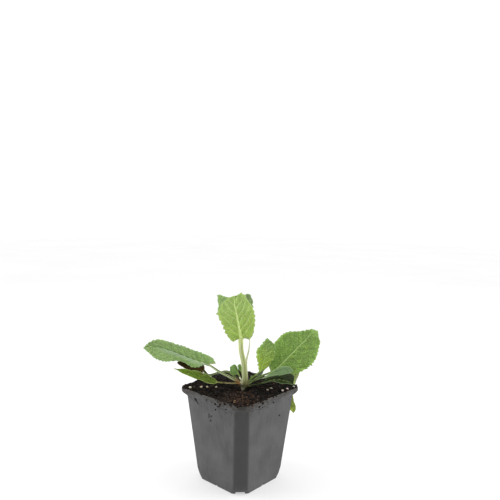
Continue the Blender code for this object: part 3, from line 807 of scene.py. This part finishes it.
def leaf_mesh(leaf):
    """Points, faces and marks of a leaf: one closed skin over stalk and blade."""
    along, stalk, blade, centre, tangent, side, upper = leaf_line(leaf)
    seed = leaf["seed"]
    share = np.clip(along / blade, 0, 1)
    stations, *halves = smooth_line(list(zip(STATIONS, leaf["left"], leaf.get("right", leaf["left"]))), 8).T
    halves = [np.maximum(np.interp(share, stations, half), LEAST_HALF) for half in halves]
    teeth = [toothed(along, half, leaf, hand, seed + 1 - hand) for half, hand in zip(halves, (1, -1))]
    opened = soft_step(along, -1.6, 0.8)[:, None]
    foot, neck = leaf["stalk"]
    stalk_share = np.clip(1 + along / stalk, 0, 1)
    thin = (foot + (neck - foot) * stalk_share) * (0.3 + 0.7 * soft_step(along + stalk, 0, 9))
    thin = thin[:, None]
    half_columns = max(6, round(np.max(halves) / leaf["spacing"] * 0.95))
    u = np.linspace(-1, 1, 2 * half_columns + 1)[None, :]
    size = np.abs(u)
    turn = u * math.pi / 2

    half, teeth = (np.where(u > 0, *np.array(pair)[..., None]) for pair in (halves, teeth))
    across = np.sign(u) * ((0.55 * size + 0.45 * size ** 2) * half + teeth * soft_step(size, 0.7, 1))
    across = thin * np.sin(turn) * (1 - opened) + across * opened
    rows = along[:, None] + 0 * u
    length = share[:, None]
    reach = np.abs(across)
    reach_share = reach / np.maximum(half, 1)

    gap = leaf["vein_gap"]
    wander = 0.16 * patches(across + 50, rows, 7, seed + 5)
    wander = wander + 0.05 * patches(across + 50, rows, 2.5, seed + 6)
    phase = (rows - 0.8 * reach - 0.022 * reach ** 2) / gap + wander + 0.45 * soft_step(across, -0.6, 0.6)
    to_vein = np.abs(phase - np.floor(phase) - 0.5) * gap * 0.78
    bent = 0.5 * patches(across, rows, 1.7, seed + 7), 0.5 * patches(across, rows, 1.7, seed + 8)
    net = clods(across + bent[0] + 90, rows + bent[1] + 90, leaf["net"], seed + 9)[1]
    margin = np.maximum(half + teeth - reach, 0) * opened
    from_foot = -(along + stalk)[:, None] * (1 - opened)
    inner = soft_step(margin, 0.2, 2.5)
    pillows = QUILT_RISE * (1 - hill(to_vein, 1.1)) + QUILT_RISE * soft_step(net, 0, 0.8)
    wave, pleat = leaf["ruffle"]
    crumple = patches(across, rows, 5, seed + 14) + 0.5 * patches(across, rows, 2.2, seed + 15)
    sheet = leaf["quilt"] * pillows * inner
    sheet = sheet + wave * patches(np.sign(u) * 40 + 0 * rows, rows, pleat / 2.2, seed + 12) * size ** 3
    sheet = sheet + 0.12 * patches(across, rows, 1.0, seed + 13)
    sheet = sheet - 0.35 * hill(across, 0.9) * (1 - 0.7 * length)
    sheet = sheet + leaf["crumple"] * crumple

    skin = leaf["skin"] * np.sqrt(np.clip(1 - size ** 6, 0, 1))
    rib_half = neck * 0.55 * (1 - length) ** 0.9 + 0.28
    rib_deep = neck * 0.72 * (1 - length) ** 1.1 + 0.22
    rib = rib_deep * np.sqrt(np.clip(1 - (across / rib_half) ** 2, 0, 1))
    ridges = RIDGE_DEPTH * hill(to_vein, 0.38) * soft_step(margin, 0.5, 4)
    ridges = ridges + NET_DEPTH * hill(net, 0.3) * inner
    round_side = np.cos(turn)
    stalk_up = thin * (0.62 * round_side ** 0.6 - 0.62 * hill(np.sin(turn), 0.42))
    stalk_low = -0.78 * thin * round_side + 0.05 * thin * np.sin(5 * math.pi * u) * round_side
    rise_up = stalk_up * (1 - opened) + (sheet + skin) * opened
    rise_low = stalk_low * (1 - opened) + (sheet - skin - np.maximum(rib, ridges)) * opened

    trough = math.radians(leaf["trough"]) * opened
    tip = np.where(u > 0, *leaf["tip_rise"]) * soft_step(length, 0.72, 0.93)
    tip = tip * (1 - soft_step(length, 0.93, 1))
    lobe = np.where(u > 0, *leaf["lobe"]) * (1 - length) ** 3 * np.clip(half / 6, 0, 1) * opened
    slide = (tip - lobe) * reach_share ** 1.6

    def skin_points(rise):
        flat = centre[:, None] + side[:, None] * (across * np.cos(trough))[..., None]
        lifted = flat + upper[:, None] * (reach * np.sin(trough) + rise)[..., None]
        return lifted + tangent[:, None] * slide[..., None]

    over, under = skin_points(rise_up), skin_points(rise_low)[:, -2:0:-1]
    points = np.concatenate((over, under), axis=1).reshape(-1, 3)

    def marked(*values):
        return np.stack([np.hstack((value, value[:, -2:0:-1])).ravel() for value in values], axis=1)

    place, veins = marked(across, rows, 1 + 0 * rows), marked(phase, net, margin + from_foot)
    columns = over.shape[1] + under.shape[1]
    place.reshape(len(along), columns, 3)[:, over.shape[1]:, 2] = 0
    return points, loft_faces(len(along), columns), {"leaf_place": place, "leaf_veins": veins}


# The stalk's two colours are its painted lit and shaded sides, and the groove's colour is painted shade.
LEAF_COLOURS = ("Upper base", "Upper tip", "Under base", "Under tip", "Midrib", "Vein", "Margin", "Stalk",
                "Stalk side", "Groove shade", "Foot", "Rib end")
# One figure sets a painted sheen band beside the midrib, and two scale each half of the blade lighter or
# darker as painted light and shade.
LEAF_FIGURES = ("Length", "Veins", "Mottle", "Fold sheen", "Left half light", "Right half light")


def dimmed(colour, brightness):
    return wire(colour.tree, "VectorMath", {0: colour, "Scale": brightness}, operation="SCALE")


def leaf_pattern_group():
    """The colours of a leaf: blade from base to tip on both faces, veins, net, margin, stalk, and painted
    light and shade.
    """
    inputs = {label: "Color" for label in LEAF_COLOURS} | {label: "Float" for label in LEAF_FIGURES}
    outputs = {"Colour": "Color", "Height": "Float", "Lines": "Float"}
    group, given, result = new_group("sage leaf pattern", inputs, outputs)
    across, along, is_upper = marks_on(group, "leaf_place")
    phase, net, margin = marks_on(group, "leaf_veins")
    place = place_in_mm(group)
    off_rib = figure("ABSOLUTE", across)
    length = along / given["Length"]
    upper = fade(is_upper, 0.3, 0.7)
    blade = fade(along, -1.0, 2.0)
    toward_tip = fade(length, 0.0, 1.0)

    over = blend(toward_tip, given["Upper base"], given["Upper tip"])
    under = blend(toward_tip, given["Under base"], given["Under tip"])
    tone = blend(upper, under, over)
    fine = cloud(place, 1.1, 3, 0.6) - 0.5
    mottled = (cloud(place, 6, 3) - 0.5) * 0.9 + fine * 2.2
    # Painted shade in the sunken net and painted light on the raised meshes between its lines.
    net_shading = fade(net, 0.0, 1.1) * 0.24 + 0.85
    # Painted light and shade: each half of the blade is scaled lighter or darker by its own figure.
    half = fade(across, -3.0, 3.0) * (given["Left half light"] - given["Right half light"]) + given["Right half light"]
    tone = dimmed(tone, (mottled * given["Mottle"] + 1.0) * net_shading * half)
    warm = wire(group, "VectorMath", {0: tone, 1: (1.12, 1.06, 0.7)}, operation="MULTIPLY")
    yellowed = fade(cloud(place, 3.4), 0.52, 0.7)
    tone = blend(yellowed * (given["Mottle"] * 0.5), tone, warm)
    # Painted sheen: a pale band in the Margin colour beside the midrib on the upper face, where light
    # glances off it.
    beside = fade(across, 7.0, 2.0) * fade(across, 0.2, 1.0) * fade(length, 0.85, 0.6) * upper
    tone = blend(beside * given["Fold sheen"], tone, given["Margin"])

    to_vein = figure("ABSOLUTE", figure("FRACT", phase) - 0.5)
    side_vein = (1 - fade(to_vein, 0.015, 0.085)) * fade(margin, 0.5, 5.0)
    web = 1 - fade(net, 0.03, 0.42)
    veined = figure("MAXIMUM", side_vein, web * 0.3) * given["Veins"]
    tone = blend(veined, tone, given["Vein"])
    rib_width = toward_tip * -0.45 + (upper * -0.3 + 1.0)
    rib = (1 - fade(off_rib / rib_width, 0.45, 1.0)) * (1 - fade(length, 0.78, 0.97))
    rib_tone = blend(fade(length, 0.12, 0.4), given["Midrib"], given["Rib end"])
    tone = blend(rib, tone, rib_tone)
    tone = blend((1 - fade(margin, 0.1, 0.85)) * 0.7, tone, given["Margin"])

    # Painted light and shade across the stalk: one side takes the Stalk colour and the other the Stalk side
    # colour.
    stalk_side_shading = fade(cloud(place, 1.5) * 0.5 + across, -0.2, 0.7)
    stalk = blend(stalk_side_shading, given["Stalk side"], given["Stalk"])
    # Painted shade in the groove along the top of the stalk.
    stalk = blend(fade(off_rib, 0.9, 0.5) * upper, stalk, given["Groove shade"])
    stalk = blend(fade(margin, -13.0, -5.0), stalk, given["Foot"])
    stalk = blend(fade(along, -9.0, 0.0) * 0.6, stalk, given["Midrib"])
    drawn = wire(group, "CombineXYZ", {0: across, 1: along * 0.05})
    stalk = dimmed(stalk, cloud(drawn, 0.35, 3) * 0.5 + 0.75)

    lines = figure("MAXIMUM", figure("MAXIMUM", side_vein, rib), web * 0.6) * blade
    hairs = cloud(place, 0.22, 2, 0.7)
    raised = fine * 0.5 + (lines * -0.35 + hairs * 0.5)
    feed(result, {"Colour": blend(blade, stalk, tone), "Height": raised, "Lines": lines})
    return group


LEAF_PATTERN = leaf_pattern_group()


# The halves figures scale each half lighter or darker as painted light and shade, and the fold figure sets
# a painted sheen band beside the midrib.
def leaf_finish(name, length, colours, veins=0.7, mottle=0.5, specks=0.0, rough=0.6, sheen=0.12, fold_sheen=0.0,
                shine=0.35, halves=(1.0, 1.0)):
    """Leaf skin: matt with a soft velvet sheen of short hairs, lit through a little."""
    finish, tree = new_finish(
        name, Subsurface_Weight=0.22, Subsurface_Scale=0.0012, Subsurface_Radius=(0.7, 1.0, 0.3),
        Sheen_Weight=sheen, Sheen_Roughness=0.5, Specular_IOR_Level=shine)
    values = {label: shade(*colour) for label, colour in zip(LEAF_COLOURS, colours)}
    values.update(zip(LEAF_FIGURES, (length, veins, mottle, fold_sheen, *halves)))
    pattern = wire(tree, "Group", values, node_tree=LEAF_PATTERN)
    colour = pattern["Colour"]
    if specks:
        colour = coated(colour, (specks_on(tree, 4.4, specks) * 0.8, (84, 52, 26)))
    return paint(finish, Base_Color=colour, Roughness=pattern["Lines"] * -0.12 + rough,
                 Normal=relief(pattern["Height"], 0.22, 0.9))


def grow_leaf(name, slot, look, colours, **leaf):
    points, faces, marks = leaf_mesh(LEAF_PLAIN | leaf)
    length = float(marks["leaf_place"][:, 1].max())
    finish = leaf_finish(name.replace("_", " "), length, colours, **look)
    make_piece("sage_" + name, points, faces, finish, slot, [name], marks)


grow_leaf(
    "leaf_front_upright", "leaf_light", dict(veins=1),
    ((128, 160, 74), (132, 165, 84), (178, 208, 97), (177, 206, 117), (214, 230, 150), (200, 222, 140),
     (160, 178, 130), (176, 186, 118), (216, 226, 168), (182, 192, 130), (150, 146, 90), (212, 230, 150)),
    line=[(5.3, 1.2, 95.6), (8.2, -0.2, 116), (11, -3.4, 132), (13, -4.2, 144.5), (15, -6.5, 157),
          (16.5, -9.2, 170), (17, -11, 178), (16, -11.5, 186.7)],
    heading=318, stalk_spans=3, stalk=(2.4, 2.5), left=(9.3, 11.2, 14.8, 16.8, 17, 13.6, 8, 0),
    right=(6.5, 10.3, 13.5, 15, 17, 13, 4.5, 0), lobe=(3.2, 4.2), teeth=(4.4, 1.6), vein_gap=7.5,
    ruffle=(0.7, 11), seed=110, tip_rise=(5, 1.4), spurs=((-1, 0.7, 4.2, 2.2),), spacing=0.5)
grow_leaf(
    "leaf_rear_upright", "leaf_grey", dict(veins=0.6, mottle=0.6, halves=(0.84, 1.55)),
    ((112, 146, 82), (118, 150, 90), (122, 148, 84), (136, 160, 104), (222, 228, 198), (150, 176, 110),
     (104, 122, 84), (214, 216, 184), (224, 228, 204), (190, 194, 150), (180, 164, 130), (150, 176, 110)),
    line=[(-2.7, 3.7, 95.7), (-1, 2.9, 116.5), (0.5, 5.2, 129), (3, 5.7, 141), (5, 1.5, 155),
          (6, -4.5, 168), (3, -6, 177.5), (0, -7.5, 182.5)],
    heading=318, stalk_spans=3, stalk=(2.1, 0.45), left=(0.5, 4, 7.5, 11, 13.5, 15.2, 13.3, 0),
    right=(2.5, 8.5, 14.5, 17.5, 21.5, 20.5, 16.5, 0), trough=16, teeth=(3.6, 1.2), vein_gap=6.5, seed=130,
    tip_rise=(5.2, 12.5), spacing=0.5)

# The leaves on the right: a broad quilted one held out to the side with a fine bright midrib, a
# yellow-green one before its base, a narrow folded grey one, a dark one that lies on the
# compost, and a narrow one that hangs over the rim.
grow_leaf(
    "leaf_right_large", "leaf_green", dict(veins=0.55, mottle=1.15, rough=0.62),
    ((134, 169, 76), (132, 165, 82), (150, 176, 112), (150, 176, 116), (204, 228, 150), (148, 178, 94),
     (146, 166, 120), (150, 170, 98), (128, 148, 78), (112, 132, 66), (138, 144, 96), (214, 236, 160)),
    line=[(4.1, 1.2, 92), (12.5, 2.5, 95.4), (20.5, 2, 99), (33, 0, 103), (41, -1, 108), (54, -2, 119),
          (67, -2.5, 130), (79, -3, 140), (86.4, -2.8, 142)],
    heading=68, stalk_spans=3, stalk=(1.1, 1), left=(9, 15, 19, 21.4, 19.8, 8.6, 2.8, 0),
    right=(1, 8, 17, 21, 21.5, 15, 9.8, 0), roll=(39, 61), lobe=(0.5, 0.5), teeth=(4.2, 1.4), vein_gap=7.5,
    ruffle=(0.9, 12), quilt=1.15, seed=150, tip_rise=(0.2, 0.8),
    spurs=((-1, 0.5, 1.6, 1.8), (-1, 0.42, 1.4, 1.6)), spacing=0.5)
grow_leaf(
    "leaf_right_small", "leaf_light", dict(veins=0.6, mottle=0.7, halves=(1.03, 0.94)),
    ((158, 186, 58), (132, 164, 92), (160, 186, 110), (156, 182, 116), (186, 212, 100), (166, 196, 86),
     (140, 164, 106), (160, 186, 92), (130, 156, 70), (118, 142, 62), (140, 150, 90), (170, 196, 104)),
    line=[(4.2, -1.4, 96), (9.5, -1.6, 99.5), (19.5, -2, 105.5), (24.5, -0.5, 115.5), (29, 1.5, 127),
          (30.5, 2.5, 137.5)],
    heading=75, stalk_spans=2, stalk=(0.8, 0.9), left=(3, 3.5, 5.3, 8.6, 9.5, 5, 2, 0),
    right=(3, 4, 7.5, 9.5, 9.5, 9, 3.5, 0), roll=(31, 32), teeth=(4.4, 2.2), vein_gap=5, ruffle=(0.9, 9),
    seed=170)
grow_leaf(
    "leaf_right_grey", "leaf_grey", dict(veins=0.4, mottle=0.6),
    ((92, 122, 66), (96, 124, 74), (128, 152, 96), (128, 152, 104), (130, 156, 98), (112, 140, 86),
     (150, 172, 128), (140, 158, 104), (112, 132, 74), (104, 124, 68), (132, 138, 92), (84, 114, 66)),
    line=[(4, -1.5, 96), (20.5, -4, 103.5), (31.5, -6, 109.5), (39.5, -6, 113.5), (46, -6.5, 115),
          (51.5, -6.5, 114)],
    heading=30, stalk=(0.6, 0.6), left=(0.5, 0.7, 1.2, 3.2, 4.5, 3.8, 2.2, 0),
    right=(0.8, 1.6, 2.6, 4.8, 8, 8.5, 5, 0), roll=(20, 24), teeth=(3, 0.7), vein_gap=4.5, ruffle=(0.5, 9),
    seed=190)
# Its upper colours are its own dark green made darker still, as painted shade of the hollow under the large
# leaf.
grow_leaf(
    "leaf_right_low", "leaf_olive",
    dict(veins=0.5, mottle=1.1, specks=0.12, sheen=0, shine=0.15, halves=(0.9, 1.7)),
    ((38, 50, 16), (42, 54, 18), (96, 114, 66), (100, 120, 78), (66, 80, 32), (56, 70, 26), (134, 158, 116),
     (96, 110, 58), (72, 84, 36), (60, 72, 30), (112, 112, 72), (150, 170, 108)),
    line=[(3.8, -1.1, 92.1), (20.5, -2.5, 98.5), (33, -2.5, 102.5), (43, -2.5, 103), (52, -2, 100.5)],
    heading=25, stalk=(0.8, 0.7), left=(0.8, 4, 8, 10.5, 12, 12.5, 10, 0),
    right=(0.6, 0.6, 1, 2, 4.5, 3.8, 2, 0), roll=(20, 22), trough=4, teeth=(3.2, 0.6), vein_gap=5,
    ruffle=(1, 10), seed=210)
# Its very pale base colours are painted light, brightening the part that hangs in shade at the rim.
grow_leaf(
    "leaf_over_rim", "leaf_light", dict(veins=0.4, mottle=0.6),
    ((215, 222, 180), (140, 165, 80), (228, 236, 196), (206, 219, 106), (186, 198, 142), (180, 196, 110),
     (178, 190, 150), (124, 138, 80), (100, 114, 62), (92, 106, 56), (120, 120, 80), (150, 170, 96)),
    line=[(3.3, -1.1, 91.7), (24, -2.5, 94.8), (41, -1.5, 98.2), (50, -1, 102.4), (58.2, -1, 104.6),
          (56.2, -0.7, 95), (52.8, -0.9, 82), (52.4, 0.3, 72.8), (54.3, -1, 66), (55.8, -1.5, 58.3)],
    heading=62, stalk_spans=2, stalk=(1.1, 1.1), left=(2, 3, 4, 4.5, 4.8, 4.2, 3.5, 0),
    right=(1, 4, 6.5, 5, 3.5, 5.5, 4, 0), roll=(-4, -37), trough=-8, lobe=(0.5, 0.5), teeth=(3, 0.4),
    vein_gap=5, ruffle=(0.4, 9), seed=230)

# The leaves on the left: a long grey-green one that reaches far out, a shorter olive one with
# rust spots below it, and between them one that withered to a dark brown, crumpled rag.
# Painted shade and sheen: the dark Rib end colour paints the shadow in the midrib's groove, and the band
# beside it is a painted sheen.
grow_leaf(
    "leaf_left_large", "leaf_grey", dict(veins=0.35, mottle=0.75, fold_sheen=0.75),
    ((124, 156, 84), (134, 162, 96), (150, 174, 112), (152, 176, 116), (186, 208, 150), (128, 158, 96),
     (150, 172, 138), (206, 216, 168), (178, 196, 136), (84, 100, 46), (166, 122, 72), (84, 114, 60)),
    line=[(3.8, 1, 96.6), (13, 1.5, 101.6), (25, 1, 108), (34.5, 0.5, 114), (47.5, 0.5, 118),
          (59, 0.5, 123), (73, -1, 128), (87.5, -1.5, 132), (100, -1.5, 131)],
    heading=225, stalk_spans=3, stalk=(1.6, 1.2), left=(1, 1, 10.3, 9, 16, 14.5, 6.5, 0),
    right=(4.5, 10.6, 12.6, 11.2, 9.6, 8.8, 4.5, 0), roll=(-24, -41), trough=6, lobe=(2.6, 7.6),
    teeth=(4, 1.5), vein_gap=7, ruffle=(0.7, 12), seed=250, spacing=0.5)
grow_leaf(
    "leaf_left_low", "leaf_olive", dict(veins=0.3, mottle=0.9, specks=0.3, sheen=0, shine=0.15),
    ((74, 92, 12), (92, 120, 14), (150, 168, 96), (156, 174, 100), (98, 118, 26), (80, 104, 18),
     (176, 190, 116), (156, 150, 106), (118, 112, 74), (126, 116, 74), (160, 116, 70), (84, 108, 24)),
    line=[(3.7, 2.9, 96.2), (19, 4.8, 98.5), (29, 6.5, 101), (43, 7, 106), (57.5, 6.5, 112),
          (71, 5.5, 117.5)],
    heading=240, stalk_spans=2, stalk=(1, 0.9), left=(1.5, 4, 5.5, 5.5, 6, 4.5, 1, 0),
    right=(2, 5, 8.4, 9, 7, 4.5, 1.5, 0), roll=(-22, -15), teeth=(3.2, 0.8), vein_gap=5, ruffle=(0.6, 10),
    seed=270)
grow_leaf(
    "leaf_withered", "leaf_dry", dict(veins=0.4, mottle=1.1, rough=0.8, sheen=0, shine=0.1),
    ((62, 44, 18), (48, 38, 12), (66, 52, 24), (60, 48, 20), (84, 64, 30), (66, 50, 22), (80, 66, 30),
     (150, 162, 118), (126, 140, 92), (110, 122, 76), (120, 120, 80), (60, 46, 18)),
    line=[(3.9, -0.7, 96.3), (18, -5, 103), (30, -7, 100.2), (40.5, -4, 97), (45, 0, 102.5), (52.5, 6, 106),
          (59, 11, 108.5), (66.5, 16, 112.5)],
    heading=200, stalk_spans=4, stalk=(1, 1.3), left=(3.5, 4, 4.8, 5, 4, 2.5, 1.5, 0),
    right=(3, 5, 6.5, 7, 6.5, 5, 4, 0), roll=(-40, -50), trough=12, lobe=(1, 1), teeth=(2.6, 1), vein_gap=5,
    ruffle=(2, 8), crumple=0.9, quilt=0.7, seed=290)

# The heart of the rosette: four leaves that have only just unfolded, two behind the upright
# stalks and two at their right. They are still short, soft and troughed.
YOUNG_GREEN = ((106, 142, 60), (118, 154, 78), (140, 170, 92), (146, 174, 98), (150, 178, 92),
               (130, 162, 80), (150, 174, 112), (160, 178, 108), (130, 150, 78), (112, 134, 64),
               (140, 148, 96), (118, 150, 74))
DARK_GREEN = ((50, 68, 26), (58, 76, 30), (66, 84, 38), (74, 92, 42), (112, 132, 60), (84, 104, 46),
              (110, 128, 72), (112, 126, 64), (86, 100, 46), (76, 90, 40), (110, 112, 70), (84, 104, 44))
grow_leaf(
    "leaf_young_rear", "leaf_green", dict(veins=0.6), YOUNG_GREEN,
    line=[(3.3, -0.6, 96), (7, 2, 103.5), (9, 4.5, 108), (11, 6, 112)],
    heading=160, stalk=(0.8, 0.8), left=(2.5, 4.5, 6.5, 8, 7.5, 5.5, 5, 0),
    right=(0.8, 1.2, 1.5, 2.5, 3, 2.5, 2, 0), trough=12, teeth=(2, 0.6), vein_gap=2.6, net=1.2, quilt=0.6,
    ruffle=(0.3, 5), spacing=0.28, seed=310)
grow_leaf(
    "leaf_young_rear_small", "leaf_green", dict(veins=0.5), YOUNG_GREEN,
    line=[(3.5, -0.9, 95.9), (6, 2, 105.5), (8, 4, 112.5)],
    heading=130, stalk=(0.6, 0.6), left=(0.8, 1.5, 2, 2.5, 2.5, 2.5, 2, 0),
    right=(0.8, 1, 1, 1.2, 1.2, 1, 1, 0), trough=12, teeth=(1.6, 0.25), vein_gap=2, net=1, quilt=0.4,
    ruffle=(0.2, 4), spacing=0.25, seed=330)
grow_leaf(
    "leaf_right_folded", "leaf_green", dict(veins=0.5), DARK_GREEN,
    line=[(3.8, -1.9, 96), (12.4, -4.2, 100.4), (17.7, -3.8, 104.2), (20.2, -3.3, 107.2)],
    heading=60, stalk=(0.6, 0.7), left=(0.8, 2, 3, 4, 4, 3, 2, 0), trough=14, teeth=(2, 0.6), vein_gap=2.6,
    net=1.2, quilt=0.6, ruffle=(0.4, 5), spacing=0.28, seed=350)
grow_leaf(
    "leaf_bud", "leaf_light", dict(veins=0.5), YOUNG_GREEN,
    line=[(2.9, -1, 96.7), (8.5, -0.9, 100.4), (10.5, -0.5, 105)],
    heading=10, stalk=(0.5, 0.5), left=(0.6, 0.8, 1, 1.2, 1.2, 1, 0.8, 0), trough=12, teeth=(1.2, 0.12),
    vein_gap=1.6, net=0.8, quilt=0.25, ruffle=(0.1, 3), spacing=0.2, skin=0.3, seed=370)

# The studio: a plain pale floor under an even pale sky, a soft box at each side, and the camera
# a little above the leaves, looking at the pot's front corner.
PLANT_MIDDLE = Vector((0.0, 0.0, 0.10))
CAMERA_PLACE = Vector((0.3619, -0.3902, 0.2687))
CAMERA_TURN = math.radians(42.0)
CAMERA_DIP = 0.073
CAMERA_TILT = 0.015
CAMERA_LENS, CAMERA_SENSOR = 38.85, 36
SKY_LIGHT = 1.35
SKY_DIM = 1.15
SKY_SEEN = 1.05
BOX_REACH, BOX_HEIGHT, BOX_SIDE = 0.9, 0.45, 0.8


def make_floor():
    finish, tree = new_finish("studio floor", Roughness=0.85, Specular_IOR_Level=0.1, Emission_Strength=1.3)
    colour = blend(cloud(place_in_mm(tree), 400), shade(168, 168, 168), shade(174, 174, 174))
    paint(finish, Base_Color=colour, Emission_Color=colour)
    mesh = bpy.data.meshes.new("studio_floor")
    mesh.from_pydata([(-4, -4, 0), (4, -4, 0), (4, 4, 0), (-4, 4, 0)], [], [(0, 1, 2, 3)])
    mesh.materials.append(finish)
    put_in("studio_floor", mesh)


def soft_box(name, turn, power):
    """An area light aimed at the plant. Turn is 0 behind the camera and grows to its right."""
    angle = CAMERA_TURN - math.pi / 2 + math.radians(turn)
    light = bpy.data.lights.new(name, "AREA")
    light.shape = "RECTANGLE"
    light.size = light.size_y = BOX_SIDE
    light.energy = power
    lamp = put_in(name, light)
    lamp.location = (BOX_REACH * math.cos(angle), BOX_REACH * math.sin(angle), BOX_HEIGHT)
    lamp.rotation_euler = (PLANT_MIDDLE - lamp.location).to_track_quat("-Z", "Y").to_euler()


def make_world():
    """A bright even sky, dimmer on the camera's side, so that the light comes from the sides."""
    world = bpy.data.worlds.new("studio air")
    bpy.context.scene.world = world
    world.use_nodes = True
    tree = world.node_tree
    way = wire(tree, "TexCoord", {})["Generated"]
    front = (math.sin(CAMERA_TURN), -math.cos(CAMERA_TURN), 0)
    ahead = wire(tree, "VectorMath", {0: way, 1: front}, operation="DOT_PRODUCT")["Value"]
    lit = fade(ahead, 0.0, 0.8) * -SKY_DIM + SKY_LIGHT
    seen = wire(tree, "LightPath", {})["Is Camera Ray"]
    strength = (SKY_SEEN - lit) * seen + lit
    feed(tree.nodes["Background"].inputs, {"Color": (1, 1, 1, 1), "Strength": strength})


def make_camera():
    view = bpy.data.cameras.new("studio camera")
    view.lens = CAMERA_LENS
    view.sensor_width = CAMERA_SENSOR
    view.clip_start = 0.01
    camera = put_in("studio camera", view)
    turn = Matrix.Rotation(CAMERA_TURN, 4, "Z") @ Matrix.Rotation(math.pi / 2 - CAMERA_DIP, 4, "X")
    camera.matrix_world = Matrix.Translation(CAMERA_PLACE) @ turn @ Matrix.Rotation(CAMERA_TILT, 4, "Z")
    bpy.context.scene.camera = camera


make_floor()
soft_box("left soft box", -92, 6.0)
soft_box("right soft box", 92, 5.7)
make_world()
make_camera()
bpy.context.scene.view_settings.view_transform = "Standard"
